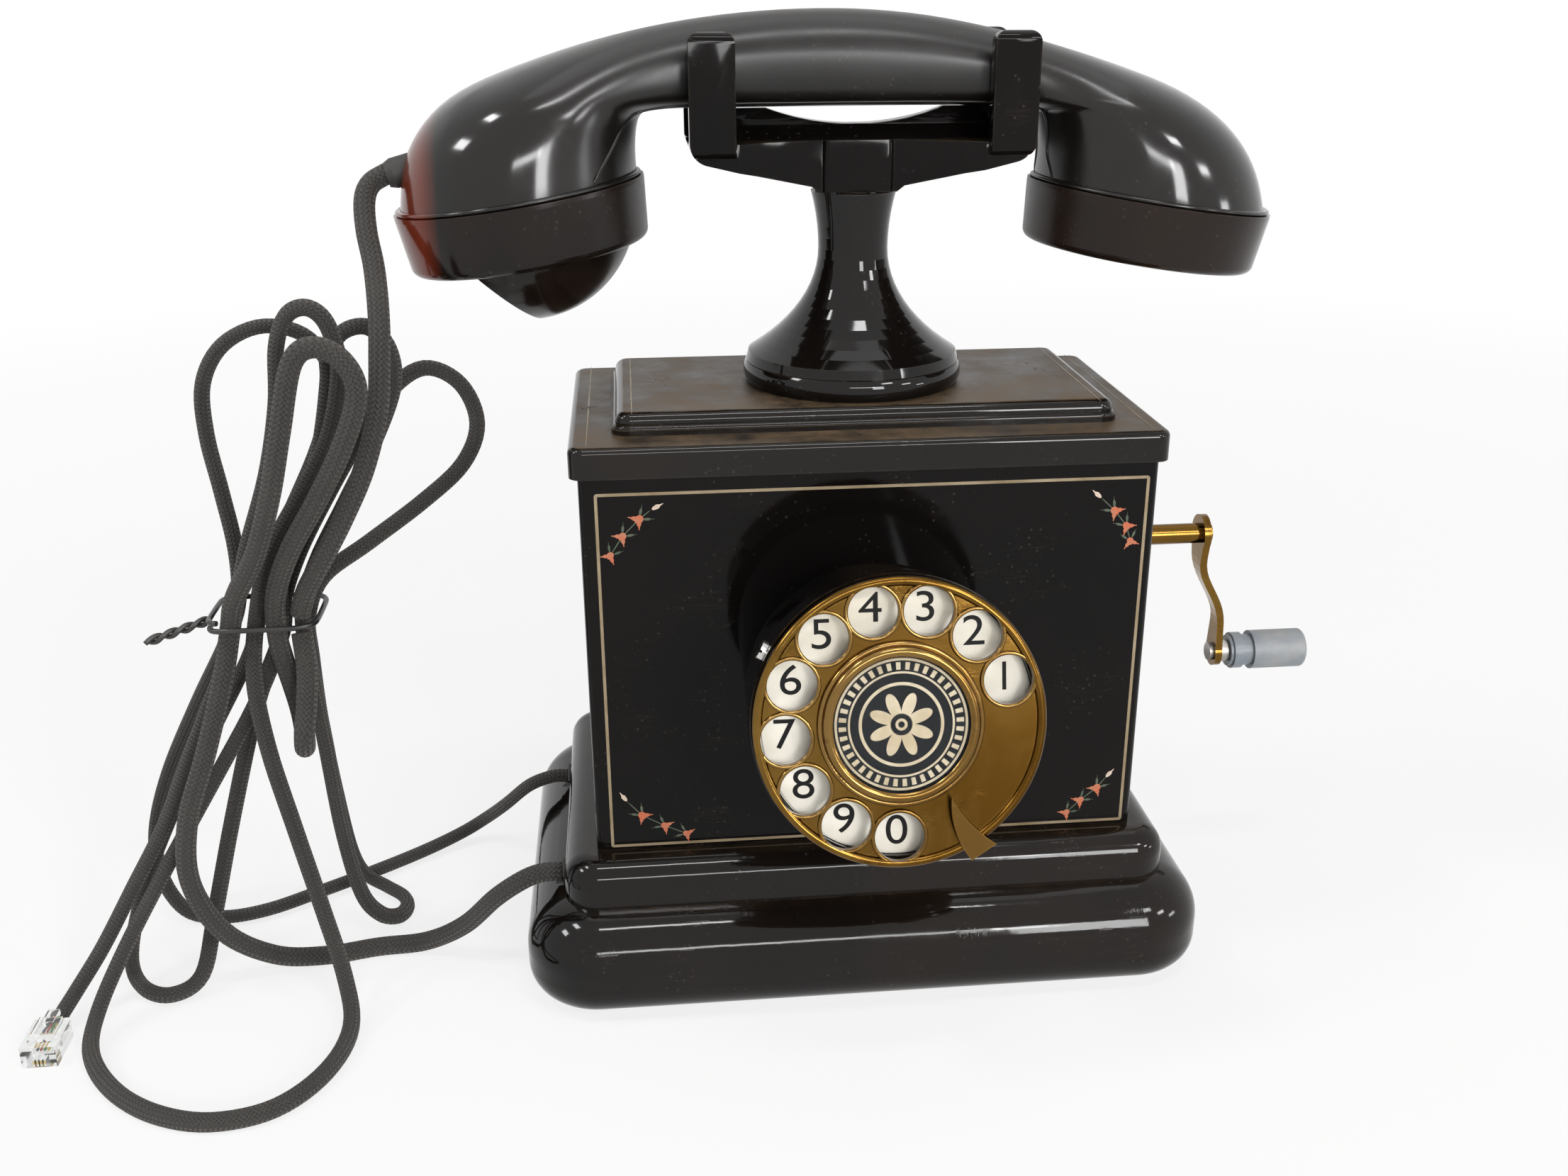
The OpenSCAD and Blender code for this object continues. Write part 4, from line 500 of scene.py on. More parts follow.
# %% [markdown]
# ## Materials: finishes
# Each finish below is the real surface put in numbers: the lacquer is nearly black with a warm
# cast, and shines as baked enamel does; the brass has gone amber in patches; the cotton is dull.
# A helper starts a material and another mixes a colour in by a mask, so each recipe reads as what
# it is. Each finish is kept by its name, which is mostly the name of the slot that it fills.

# %% Helpers for a finish
FINISH = {}


def finish(name, colour, **values):
    """A new material. Its shader's plain values are given by their names."""
    material = bpy.data.materials.new(name)
    material.use_nodes = True
    FINISH[name] = material
    shader = material.node_tree.nodes["Principled BSDF"]
    feed(shader, Base_Color=(*colour, 1.0), **values)
    return material.node_tree, shader


def colour_mix(mask, below, above):
    """Above where the mask is 1, below where it is 0. Each is a colour or a socket."""
    made = add(mask.id_data, "ShaderNodeMix", data_type="RGBA")
    for key, value in ((0, mask), (6, below), (7, above)):
        put(made, key, (*value, 1.0) if isinstance(value, tuple) else value)
    return made.outputs[2]


def use(tree, grouped, **values):
    made = add(tree, "ShaderNodeGroup", node_tree=grouped)
    feed(made, **values)
    return made.outputs


def bump(shader, height, strength, distance):
    feed(shader, Normal=add(shader.id_data, "ShaderNodeBump", Strength=strength, Distance=distance,
                            Height=height).outputs[0])


def give(piece, name):
    """Leaves a piece with one finish only."""
    piece.data.materials.clear()
    piece.data.materials.append(FINISH[name])


# %% Glossy black surfaces: lacquered steel, moulded base and handset
SPECK_COLOUR = (0.32, 0.29, 0.25)
DUST_AND_SHEEN_COLOUR = (0.30, 0.20, 0.11)


def glossy_black(name, colour, tint, rub, rough, edge, dust_and_sheen_amount, shine, scale=1.0, waviness=0.02, dust_and_sheen_cover=0.42):
    """Black that shines, with smudges in its gloss, a warm tint in patches, rubbed edges and dust. Laid
    thick, as on the lid, the dust is also a painted warm reflection.
    """
    tree, shader = finish(name, colour, Specular_IOR_Level=shine)
    marks = use(tree, age, Scale=scale)
    edges = use(tree, worn, Amount=edge)["Edge"]
    dust_and_sheen = use(tree, dust, Amount=dust_and_sheen_amount)["Dust"]
    base = colour_mix(remap(noise(tree, 11.0, 4.0, 0.6), 0.4, 0.7), colour, tint)
    for mask, over_it in ((times(marks["Scratch"], 0.08), rub), (edges, rub),
                          (times(marks["Speck"], 0.07), SPECK_COLOUR), (times(dust_and_sheen, dust_and_sheen_cover), DUST_AND_SHEEN_COLOUR)):
        base = colour_mix(mask, base, over_it)
    dull = plus(remap(marks["Smudge"], 0.0, 1.0, *rough), times(dust_and_sheen, 0.35))
    feed(shader, Base_Color=base, Roughness=plus(dull, times(edges, 0.2), clamp=True))
    bump(shader, plus(noise(tree, 120.0, 2.0), times(marks["Scratch"], -0.3)), waviness, 0.001)


glossy_black("black_lacquer", (0.0035, 0.003, 0.0028), (0.007, 0.005, 0.004), (0.14, 0.10, 0.07),
             (0.04, 0.09), edge=0.25, dust_and_sheen_amount=0.2, shine=0.30)
glossy_black("panel_lacquer", (0.0035, 0.003, 0.0028), (0.006, 0.0045, 0.004), (0.12, 0.09, 0.06),
             (0.05, 0.12), edge=0.2, dust_and_sheen_amount=0.3, shine=0.13)
glossy_black("base_moulding", (0.004, 0.0032, 0.0028), (0.010, 0.006, 0.004), (0.12, 0.08, 0.05),
             (0.05, 0.11), edge=0.2, dust_and_sheen_amount=0.15, shine=0.27, scale=1.2, waviness=0.05)
# On the lid the dust lies thick: its warm brown on the flat tops is partly dust and partly a painted warm
# reflection of the room.
glossy_black("lid_lacquer", (0.005, 0.0038, 0.003), (0.010, 0.007, 0.005), (0.10, 0.07, 0.05),
             (0.04, 0.09), edge=0.12, dust_and_sheen_amount=0.95, shine=0.28, dust_and_sheen_cover=0.5)
glossy_black("bakelite", (0.005, 0.0044, 0.004), (0.009, 0.007, 0.006), (0.08, 0.06, 0.04),
             (0.10, 0.17), edge=0.12, dust_and_sheen_amount=0.10, shine=0.42, scale=1.4, waviness=0.010)
glossy_black("cap_bakelite", (0.005, 0.0036, 0.003), (0.016, 0.008, 0.005), (0.10, 0.06, 0.04),
             (0.10, 0.20), edge=0.25, dust_and_sheen_amount=0.08, shine=0.26, scale=1.4, waviness=0.010)


# %% Bakelite is red-brown at its left end, and dull where the hand holds it
def opened(name):
    """The tree and the shader of a finish, and what its colour and its roughness come from."""
    tree = FINISH[name].node_tree
    shader = tree.nodes["Principled BSDF"]
    return tree, shader, {key: shader.inputs[key].links[0].from_socket for key in ("Base Color", "Roughness")}


def by_x(tree, low, high):
    """A mask along x, in millimetres: 0 at low, 1 at high."""
    return remap(number_of(own_place(tree), "X"), low * MM, high * MM)


RED_BROWN = (0.14, 0.021, 0.008)
for name in ("bakelite", "cap_bakelite"):
    tree, shader, before = opened(name)
    held = times(by_x(tree, -88, -58), by_x(tree, 78, 50))
    feed(shader, Base_Color=colour_mix(by_x(tree, -113.5, -118.5), before["Base Color"], RED_BROWN),
         Roughness=maths("MULTIPLY_ADD", held, 0.2, before["Roughness"]))

# %% The flat tops of the lid are satin, where years of hands and cloths have dulled them
tree, shader, before = opened("lid_lacquer")
feed(shader, Roughness=maths("MULTIPLY_ADD", facing_up(tree, 0.95, 0.995), 0.24, before["Roughness"]))


# %% Brass, polished once and gone amber since
def aged_brass(name, bright, amber, dark, rough, scale):
    tree, shader = finish(name, bright, Metallic=1.0)
    scratch = use(tree, age, Scale=scale * 0.5)["Scratch"]
    cloud = remap(noise(tree, 26.0 * scale, 6.0, 0.68, 0.7), 0.34, 0.62)
    spots = remap(noise(tree, 150.0 * scale, 3.0, 0.6), 0.6, 0.72)
    base = colour_mix(times(spots, 0.7), colour_mix(cloud, bright, amber), dark)
    feed(shader, Base_Color=colour_mix(use(tree, worn, Amount=0.8)["Edge"], base, bright),
         Roughness=plus(remap(cloud, 0.0, 1.0, *rough), times(scratch, 0.2), clamp=True))
    bump(shader, plus(cloud, times(scratch, -0.6)), 0.06, 0.0008)


aged_brass("polished_brass", (0.21, 0.12, 0.028), (0.095, 0.045, 0.007), (0.045, 0.019, 0.004),
           (0.12, 0.22), 0.4)
aged_brass("sheet_brass", (0.45, 0.32, 0.13), (0.28, 0.18, 0.065), (0.14, 0.08, 0.03),
           (0.26, 0.42), 1.3)
aged_brass("card_ring_brass", (0.24, 0.145, 0.048), (0.135, 0.072, 0.018), (0.07, 0.033, 0.009),
           (0.12, 0.22), 0.7)


# %% Steel, turned, stamped or plated
def metal(name, colour, dull, rough, stretch):
    """Metal with tool marks drawn out along one way."""
    tree, shader = finish(name, colour, Metallic=1.0)
    marks = noise(tree, 240.0, 4.0, 0.6, at=mapped(tree, Scale=stretch))
    stain = remap(noise(tree, 48.0, 5.0, 0.7), 0.42, 0.66)
    feed(shader, Base_Color=colour_mix(times(stain, 0.6), colour, dull),
         Roughness=plus(remap(marks, 0.3, 0.7, *rough), times(stain, 0.1), clamp=True))
    bump(shader, marks, 0.05, 0.0004)


metal("steel", (0.50, 0.49, 0.47), (0.20, 0.16, 0.13), (0.28, 0.48), (1.0, 0.06, 1.0))
metal("plated_steel", (0.66, 0.65, 0.62), (0.40, 0.37, 0.32), (0.12, 0.26), (1.0, 1.0, 0.1))
metal("capsule_case", (0.68, 0.68, 0.67), (0.45, 0.44, 0.42), (0.28, 0.42), (1.0, 1.0, 0.08))
metal("gold_contacts", (0.83, 0.60, 0.24), (0.6, 0.38, 0.12), (0.14, 0.24), (1.0, 0.1, 1.0))

tree, shader = finish("magnet_steel", (0.16, 0.03, 0.02))
feed(shader, Roughness=remap(noise(tree, 60.0, 4.0), 0.3, 0.7, 0.3, 0.5),
     Base_Color=colour_mix(use(tree, worn, Amount=0.9)["Edge"], (0.17, 0.03, 0.02), (0.4, 0.37, 0.34)))
bump(shader, noise(tree, 300.0), 0.1, 0.0006)


# %% Stacked sheets and wound wire, as waves across the piece
def banded(name, light, dark, metallic, rough, bands, direction, depth):
    tree, shader = finish(name, light, Metallic=metallic, Roughness=rough)
    wave = add(tree, "ShaderNodeTexWave", Scale=bands, Distortion=0.4, Detail=2.0,
               bands_direction=direction, Vector=own_place(tree)).outputs["Fac"]
    shade = remap(noise(tree, 70.0, 4.0), 0.3, 0.7, 0.0, 0.5)
    line = maths("MAXIMUM", remap(wave, 0.25, 0.0), shade)
    feed(shader, Base_Color=colour_mix(line, light, dark))
    bump(shader, wave, depth, 0.0003)


banded("laminations", (0.36, 0.34, 0.32), (0.10, 0.08, 0.07), 0.9, 0.42, 320.0, "X", 0.5)
banded("coil_winding", (0.42, 0.17, 0.07), (0.16, 0.05, 0.02), 0.6, 0.34, 560.0, "Z", 0.6)
banded("speech_winding", (0.13, 0.05, 0.03), (0.05, 0.02, 0.015), 0.1, 0.45, 260.0, "X", 0.4)


# %% Enamel, rubber, grips, moulded blocks and paint
def solid(name, colour, other, rough, grain, depth, patch=24.0, **values):
    """A solid colour with soft patches of a second one, and a fine grain in its surface."""
    tree, shader = finish(name, colour, **values)
    patches = remap(noise(tree, patch, 5.0, 0.65), 0.4, 0.68)
    feed(shader, Base_Color=colour_mix(patches, colour, other), Roughness=remap(patches, 0.0, 1.0, *rough))
    bump(shader, noise(tree, grain, 3.0, 0.6), depth, 0.0005)


solid("white_enamel", (0.86, 0.83, 0.74), (0.74, 0.69, 0.57), (0.16, 0.26), 160.0, 0.03, 30.0,
            Specular_IOR_Level=0.3)
solid("rubber", (0.018, 0.017, 0.016), (0.045, 0.042, 0.038), (0.55, 0.75), 900.0, 0.25)
solid("knob_grey", (0.19, 0.22, 0.25), (0.31, 0.31, 0.31), (0.32, 0.55), 300.0, 0.12, 60.0)
solid("black_moulding", (0.02, 0.018, 0.016), (0.04, 0.03, 0.022), (0.3, 0.5), 500.0, 0.12)
solid("tie_wire", (0.015, 0.015, 0.015), (0.035, 0.033, 0.03), (0.22, 0.36), 600.0, 0.1)
solid("printing_ink", (0.006, 0.006, 0.006), (0.014, 0.013, 0.012), (0.45, 0.6), 1500.0, 0.04,
            Specular_IOR_Level=0.12)
solid("striping_gold", (0.33, 0.26, 0.165), (0.21, 0.15, 0.075), (0.35, 0.55), 700.0, 0.12, 80.0,
            Metallic=0.25)
solid("petal_orange", (0.50, 0.115, 0.045), (0.40, 0.17, 0.09), (0.35, 0.5), 900.0, 0.1, 400.0)
solid("petal_cream", (0.62, 0.50, 0.40), (0.45, 0.36, 0.26), (0.35, 0.5), 900.0, 0.1, 500.0)
solid("chipped_lacquer", (0.17, 0.13, 0.10), (0.09, 0.07, 0.055), (0.5, 0.7), 900.0, 0.2, 500.0)
solid("leaf_green", (0.045, 0.07, 0.045), (0.09, 0.10, 0.06), (0.35, 0.5), 900.0, 0.1, 400.0)
WIRES = {"wire_black": (0.03, 0.03, 0.03), "wire_red": (0.45, 0.04, 0.03),
         "wire_green": (0.04, 0.25, 0.06), "wire_yellow": (0.6, 0.45, 0.05)}
for name, colour in WIRES.items():
    solid(name, colour, tuple(0.8 * c for c in colour), (0.35, 0.45), 800.0, 0.05)


# %% Clear pieces
def clear(name, tint, rough, bending=1.49):
    tree, shader = finish(name, tint, IOR=bending, Transmission_Weight=1.0)
    feed(shader, Roughness=remap(noise(tree, 70.0, 4.0), 0.4, 0.7, rough, rough + 0.1))
    bump(shader, noise(tree, 90.0, 2.0), 0.02, 0.0005)


clear("clear_window", (0.98, 0.98, 0.96), 0.01, 1.16)
clear("clear_plastic", (0.93, 0.94, 0.93), 0.05)

# %% Braided cotton
tree, shader = finish("braided_cotton", (0.02, 0.019, 0.018), Sheen_Weight=0.22,
                            Sheen_Roughness=0.4, Sheen_Tint=(0.7, 0.65, 0.6, 1.0))
woven = use(tree, braid, Strands=12.0)
worn_patch = remap(noise(tree, 30.0, 4.0, 0.6), 0.4, 0.7)
# Painted shade: the thread is darker down in the hollows of the weave and lighter on its crowns.
thread_and_shade = colour_mix(remap(woven["Height"], 0.15, 0.9), (0.006, 0.006, 0.006), (0.034, 0.031, 0.028))
thread_and_shade = colour_mix(times(worn_patch, remap(woven["Fray"], 0.45, 0.7)), thread_and_shade, (0.075, 0.066, 0.056))
feed(shader, Base_Color=thread_and_shade, Roughness=remap(woven["Fray"], 0.3, 0.7, 0.62, 0.85))
bump(shader, plus(woven["Height"], times(woven["Fray"], 0.4)), 0.8, 0.0005)


# %% [markdown]
# ## The plane of the dial
# The dial leans back, so its card and its numerals are laid out on a plane of their own. The plane
# has a middle, a direction across and a direction up. They place every numeral and every lip, and
# turn the pattern of the card.

# %% Lay out the dial's plane
DIAL_TILT = math.radians(13.2)
DIAL_MIDDLE = Vector((0, -96.5, 108.3))
DIAL_UP = Vector((0, math.sin(DIAL_TILT), math.cos(DIAL_TILT)))
DIAL_OUT = Vector((0, -math.cos(DIAL_TILT), math.sin(DIAL_TILT)))
HOLES = 10
HOLE_CIRCLE, FIRST_HOLE, HOLE_STEP = 29.8, 20.0, 27.6
HOLE_R, LIP_R = 6.45, 0.5
PLATE_FACE = -5.3


def at_hole(i, out, aside=0.0):
    """The matrix of a finger hole's middle, raised or moved aside by millimetres."""
    turn = math.radians(FIRST_HOLE + i * HOLE_STEP)
    x, y = HOLE_CIRCLE * math.cos(turn) + aside, HOLE_CIRCLE * math.sin(turn)
    return axes(DIAL_MIDDLE + Vector((x, 0, 0)) + y * DIAL_UP + out * DIAL_OUT, (1, 0, 0), DIAL_UP)


print("dial middle:", DIAL_MIDDLE)

# %% The printed card: rings and a rosette, by the distance and the angle from its middle
tree, shader = finish("printed_card", (0.02, 0.02, 0.02), Specular_IOR_Level=0.08)
plane = mapped(tree, vector_type="TEXTURE", Location=DIAL_MIDDLE * MM,
               Rotation=(math.pi / 2 - DIAL_TILT, 0, 0))
across, upward = number_of(plane, "X"), number_of(plane, "Y")
radius = maths("SQRT", plus(maths("POWER", across, 2.0), maths("POWER", upward, 2.0)))
angle = maths("ARCTAN2", upward, across)


def ring_line(middle, half):
    off = maths("ABSOLUTE", maths("SUBTRACT", radius, middle * MM))
    return remap(off, (half + 0.12) * MM, half * MM)


petals = maths("ABSOLUTE", maths("SINE", times(angle, 4.0)))
reach = maths("MULTIPLY_ADD", petals, 5.2 * MM, 3.4 * MM)
rosette = remap(maths("SUBTRACT", radius, reach), 0.15 * MM, -0.15 * MM)
printed = maths("SUBTRACT", rosette, remap(radius, 3.0 * MM, 2.7 * MM), clamp=True)
beads = remap(maths("SINE", times(angle, 40.0)), -0.1, 0.3)
printed = maths("MAXIMUM", printed, times(ring_line(15.2, 0.9), beads))
for middle, half in ((16.9, 0.25), (13.5, 0.2), (10.6, 0.35), (1.2, 0.3)):
    printed = maths("MAXIMUM", printed, ring_line(middle, half))
mottle = remap(noise(tree, 130.0, 5.0, 0.7), 0.35, 0.65)
paper = colour_mix(mottle, (0.66, 0.58, 0.44), (0.50, 0.41, 0.28))
ground = colour_mix(mottle, (0.007, 0.008, 0.011), (0.014, 0.015, 0.019))
feed(shader, Base_Color=colour_mix(printed, ground, paper), Roughness=remap(mottle, 0.0, 1.0, 0.5, 0.65))
bump(shader, printed, 0.1, 0.0002)

# %% Give every solid part its finish
SPECIAL = {"induction_coil": "speech_winding", "transmitter_cap": "cap_bakelite",
           "receiver_cap": "cap_bakelite", "card_ring": "card_ring_brass", "lid": "lid_lacquer",
           "case_body": "panel_lacquer", "cradle_yoke": "panel_lacquer",
           "finger_stop": "card_ring_brass"}
for part in frame["record"]["subparts"]:
    give(NODES[part["node"]], SPECIAL.get(part["node"], part["material_slot"]))
for piece in (drop_cord, handset_cord, line_cord):
    give(piece, "braided_cotton")
give(winding, "tie_wire")
for wire, name in zip(plug_wires, WIRES):
    give(wire, name)
print("finishes:", len(FINISH))


# %% [markdown]
# ## Numerals
# The numerals are printed on the enamel plate behind the wheel, one behind each finger hole, and
# they all stand upright. A text object gives their outlines. It is made a mesh before it is placed,
# so the print keeps its place when the model is exported. The figure one is a plain stroke.

# %% Print the numerals
FIGURE_SIZE, FIGURE_WIDTH, FIGURE_THICK = 0.0112, 1.16, 0.00003
FIGURE_ONE = (0.00105, 0.0074, 0.00006, 1)
FIGURE_LIFT, FIGURE_ASIDE = 0.01, 0.1
figures = []
for i in range(HOLES):
    figure = str((i + 1) % HOLES)
    if figure == "1":
        piece = start("figure_1", bpy.ops.mesh.primitive_cube_add, size=1)
        piece.data.transform(Matrix.Diagonal(FIGURE_ONE))
    else:
        piece = start("figure_" + figure, bpy.ops.object.text_add)
        piece.data.body = figure
        piece.data.align_x, piece.data.align_y = "CENTER", "CENTER"
        piece.data.size = FIGURE_SIZE
        piece.data.extrude = FIGURE_THICK
        bpy.ops.object.convert(target="MESH")
        piece.data.transform(Matrix.Diagonal((FIGURE_WIDTH, 1, 1, 1)))
    figures.append(place(piece, at_hole(i, PLATE_FACE + FIGURE_LIFT, FIGURE_ASIDE)))
numerals = join(figures, "numerals")
give(numerals, "printing_ink")
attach(numerals, "case")
print("numerals:", len(numerals.data.polygons), "faces")


# %% [markdown]
# ## Rolled lips round the finger holes
# A finger hole in sheet brass has a rolled lip, so that it doesn't cut the finger, and each lip
# shows as a bright crescent. A ring that is pressed flat a little makes each of the ten.

# %% Roll the lips
lips = [place(ring("lip", HOLE_R + LIP_R, LIP_R, 0.7, 56), at_hole(i, 0.2)) for i in range(HOLES)]
finger_lips = join(lips, "finger_lips")
bpy.ops.object.shade_smooth()
give(finger_lips, "card_ring_brass")
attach(finger_lips, "dial")
print("lips:", len(finger_lips.data.polygons), "faces")


# %% [markdown]
# ## Painted lines
# A thin gold line runs round each side of the case, a little inside its edge. A striper paints it
# with a long brush. A flat frame does for it: a plane with rounded corners, inset by the width of
# the line, its middle deleted and its edge given a hair of thickness.

# %% Paint a line round each side
HALF_W, HALF_D = 80.5, 46.0
LINE_Z, LINE_HIGH, LINE_WIDTH, LINE_CORNER = 101.6, 109.2, 0.85, 0.8
OFF = 0.01


def painted_line(name, middle, across, width):
    piece = start(name, bpy.ops.mesh.primitive_plane_add, size=1)
    piece.data.transform(Matrix.Diagonal((width * MM, LINE_HIGH * MM, 1, 1)))
    edit(piece)
    bpy.ops.mesh.bevel(offset=LINE_CORNER * MM, segments=4, affect="VERTICES")
    bpy.ops.mesh.select_all(action="SELECT")
    bpy.ops.mesh.inset(thickness=LINE_WIDTH * MM, depth=0)
    bpy.ops.mesh.delete(type="FACE")
    bpy.ops.mesh.select_all(action="SELECT")
    thicken(0.00006)
    done()
    give(piece, "striping_gold")
    return place(piece, axes(middle, across, (0, 0, 1)))


case_lines = join([
    painted_line("line_front", (0.75, -HALF_D - OFF, LINE_Z), (1, 0, 0), 154.0),
    painted_line("line_back", (0, HALF_D + OFF, LINE_Z), (-1, 0, 0), 154.0),
    painted_line("line_left", (-HALF_W - OFF, 0, LINE_Z), (0, -1, 0), 84.0),
    painted_line("line_right", (HALF_W + OFF, 0, LINE_Z), (0, 1, 0), 84.0),
], "case_lines")
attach(case_lines, "case")
print("case lines:", len(case_lines.data.polygons), "faces")


# %% [markdown]
# ## Flower sprays
# Each corner of the front carries a small spray in oil paint: a bud, and three blossoms on one thin
# stem that follows the corner. Such sprays are a few brush strokes, so a petal is one flat stroke:
# a disc drawn out and pinched at one end. One stroke of each kind is modelled, and copies are placed.

# %% Brush strokes, and a spray made from them
def stroke(name, length, width, pinch):
    """A flat petal along local x, with its pointed end at plus x."""
    piece = start(name, bpy.ops.mesh.primitive_circle_add, vertices=14, radius=0.5, fill_type="NGON")
    piece.data.transform(Matrix.Diagonal((length * MM, width * MM, 1, 1)))
    edit(piece)
    bpy.ops.mesh.select_all(action="DESELECT")
    done()
    for vertex in piece.data.vertices:
        vertex.select = vertex.co.x > length * MM * 0.2
    bpy.ops.object.mode_set(mode="EDIT")
    flatten((1, pinch, 1))
    bpy.ops.mesh.select_all(action="SELECT")
    thicken(0.00005)
    done()
    return piece


STROKE_OFF = 0.012
PETAL = stroke("petal", 3.4, 1.25, 0.35)
HEART = stroke("heart", 2.7, 2.3, 0.9)
LEAF = stroke("leaf", 3.6, 0.8, 0.2)
STEM = stroke("stem", 1.0, 0.34, 1.0)


def daub(template, middle, heading, outward, paint, size=1.0, along=1.0):
    """A copy of one stroke, laid on a face with its middle at a point in millimetres."""
    piece = template.copy()
    piece.data = template.data.copy()
    bpy.context.scene.collection.objects.link(piece)
    piece.data.transform(Matrix.Diagonal((size * along, size, 1, 1)))
    place(piece, axes(middle, heading, Vector(outward).cross(Vector(heading))))
    give(piece, paint)
    return piece


def heading_of(degrees):
    turn = math.radians(degrees)
    return Vector((math.cos(turn), 0, math.sin(turn)))


def painted(template, x, z, degrees, paint, lift, size=1.0, along=1.0):
    """A stroke on the front of the case, in millimetres."""
    middle = (x, -HALF_D - STROKE_OFF - lift, z)
    return daub(template, middle, heading_of(degrees), (0, -1, 0), paint, size, along)


def beside(heart, degrees, reach):
    shift = heading_of(degrees) * reach
    return heart.x + shift.x, heart.z + shift.z


def spray(name, points):
    """Points are the bud's tip, the bud's foot and the hearts of three blossoms, in order."""
    strokes = []
    points = [Vector((x, 0, z)) for x, z in points]
    for i, (a, b) in enumerate(zip(points, points[1:])):
        way = b - a
        heading = math.degrees(math.atan2(way.z, way.x))
        middle = (a + b) / 2
        if i == 0:
            strokes.append(painted(PETAL, middle.x, middle.z, heading + 180, "petal_cream", 0.03, 1.05))
            continue
        strokes.append(painted(STEM, middle.x, middle.z, heading, "leaf_green", 0.0, 1.0, way.length))
        fade = 1.0 - 0.08 * (i - 1)
        for side in (-1, 1):
            tip, leaf = heading + side * 52, heading + 180 + side * 38
            strokes.append(painted(PETAL, *beside(b, tip, 1.5), tip, "petal_orange", 0.02, fade))
            strokes.append(painted(LEAF, *beside(b, leaf, 2.6), leaf, "leaf_green", 0.0, fade))
        strokes.append(painted(HEART, b.x, b.z, heading, "petal_orange", 0.04, fade))
    return join(strokes, name)


SPRAYS = {
    "spray_top_left": [(-57.2, 153.2), (-61.2, 151.1), (-64.4, 148.6), (-69.1, 143.8), (-72.6, 138.4)],
    "spray_top_right": [(61.3, 152.7), (64.4, 150.0), (68.4, 146.2), (72.1, 141.6), (73.5, 137.0)],
    "spray_low_left": [(-73.2, 65.3), (-71.0, 62.0), (-66.8, 57.2), (-60.3, 53.4), (-54.0, 50.4)],
    "spray_low_right": [(74.2, 64.6), (72.0, 62.0), (69.3, 58.5), (64.5, 54.6), (60.5, 50.6)],
}
for name, points in SPRAYS.items():
    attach(spray(name, points), "case")
print("sprays:", len(SPRAYS))

# %% Fine lines and chips on the lid
STRIP_Z, PANEL_Z = 169.25, 175.25
LID_LINES = [(-65.2, -1.0, PANEL_Z, 62.0), (65.2, -1.0, PANEL_Z, 62.0),
             (-77.7, 0.8, STRIP_Z, 84.0), (78.0, 0.8, STRIP_Z, 84.0)]
CHIPS = [(-58.4, 2.0, PANEL_Z, 70, 1.3), (-60.0, 7.6, PANEL_Z, 95, 0.8), (-55.4, 4.6, PANEL_Z, 60, 1.2),
         (-55.2, -3.0, PANEL_Z, 110, 0.7), (56.9, 4.4, PANEL_Z, 85, 1.0), (56.2, 12.4, PANEL_Z, 80, 0.7),
         (59.0, 2.0, PANEL_Z, 100, 0.8), (-77.6, -3.6, STRIP_Z, 20, 1.3), (-78.6, -5.0, STRIP_Z, 150, 0.8)]
lid_marks = [daub(STEM, (x, y, z + STROKE_OFF), (0, 1, 0), (0, 0, 1), "striping_gold", 1.15, length)
             for x, y, z, length in LID_LINES]
for x, y, z, degrees, size in CHIPS:
    turn = math.radians(degrees)
    heading = (math.cos(turn), math.sin(turn), 0)
    lid_marks.append(daub(LEAF, (x, y, z + STROKE_OFF), heading, (0, 0, 1), "chipped_lacquer", size))
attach(join(lid_marks, "lid_marks"), "case")
for template in (PETAL, HEART, LEAF, STEM):
    bpy.data.objects.remove(template)
print("chips:", len(CHIPS))


# %% [markdown]
# ## The handset
# The solid handset is made of flat strips. On the real one the moulding is one smooth skin with two
# fine ridges along the underside of the handle. A copy of the solid is merged, its triangles are
# paired into quads, its hard edges are creased, and a subdivision surface rounds the rest.

# %% Smooth copy of the handset
skin = copy_of("handset_shell", "handset_skin")
edit(skin)
bpy.ops.mesh.remove_doubles(threshold=0.00002)
bpy.ops.mesh.tris_convert_to_quads(face_threshold=math.radians(40), shape_threshold=math.radians(60))
bpy.ops.mesh.select_all(action="DESELECT")
bpy.ops.mesh.select_mode(type="EDGE")
bpy.ops.mesh.edges_select_sharp(sharpness=math.radians(38))
bpy.ops.transform.edge_crease(value=0.9)
done()
smoother = skin.modifiers.new("smooth", "SUBSURF")
smoother.levels = smoother.render_levels = 2
bpy.ops.object.modifier_apply(modifier="smooth")
bpy.ops.object.shade_smooth_by_angle(angle=math.radians(40))
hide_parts("handset_shell")
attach(skin, "handset")
print("handset skin:", len(skin.data.polygons), "faces")

# %% Beads where the bells meet their caps
REST_Z = 252.2
CAP_TILT = math.radians(8.5)
BEAD_R, BEAD_THICK, BEAD_OUT = 33.5, 0.95, 0.9
beads = []
for side, x, z in ((-1, -93.9, REST_Z - 22.4), (1, 86.0, REST_Z - 25.6)):
    at = Matrix.Translation(Vector((x, 0, z)) * MM) @ Matrix.Rotation(side * CAP_TILT, 4, "Y")
    bead = ring("bead", BEAD_R, BEAD_THICK, 0.75, 96)
    beads.append(place(bead, at @ Matrix.Translation((0, 0, BEAD_OUT * MM))))

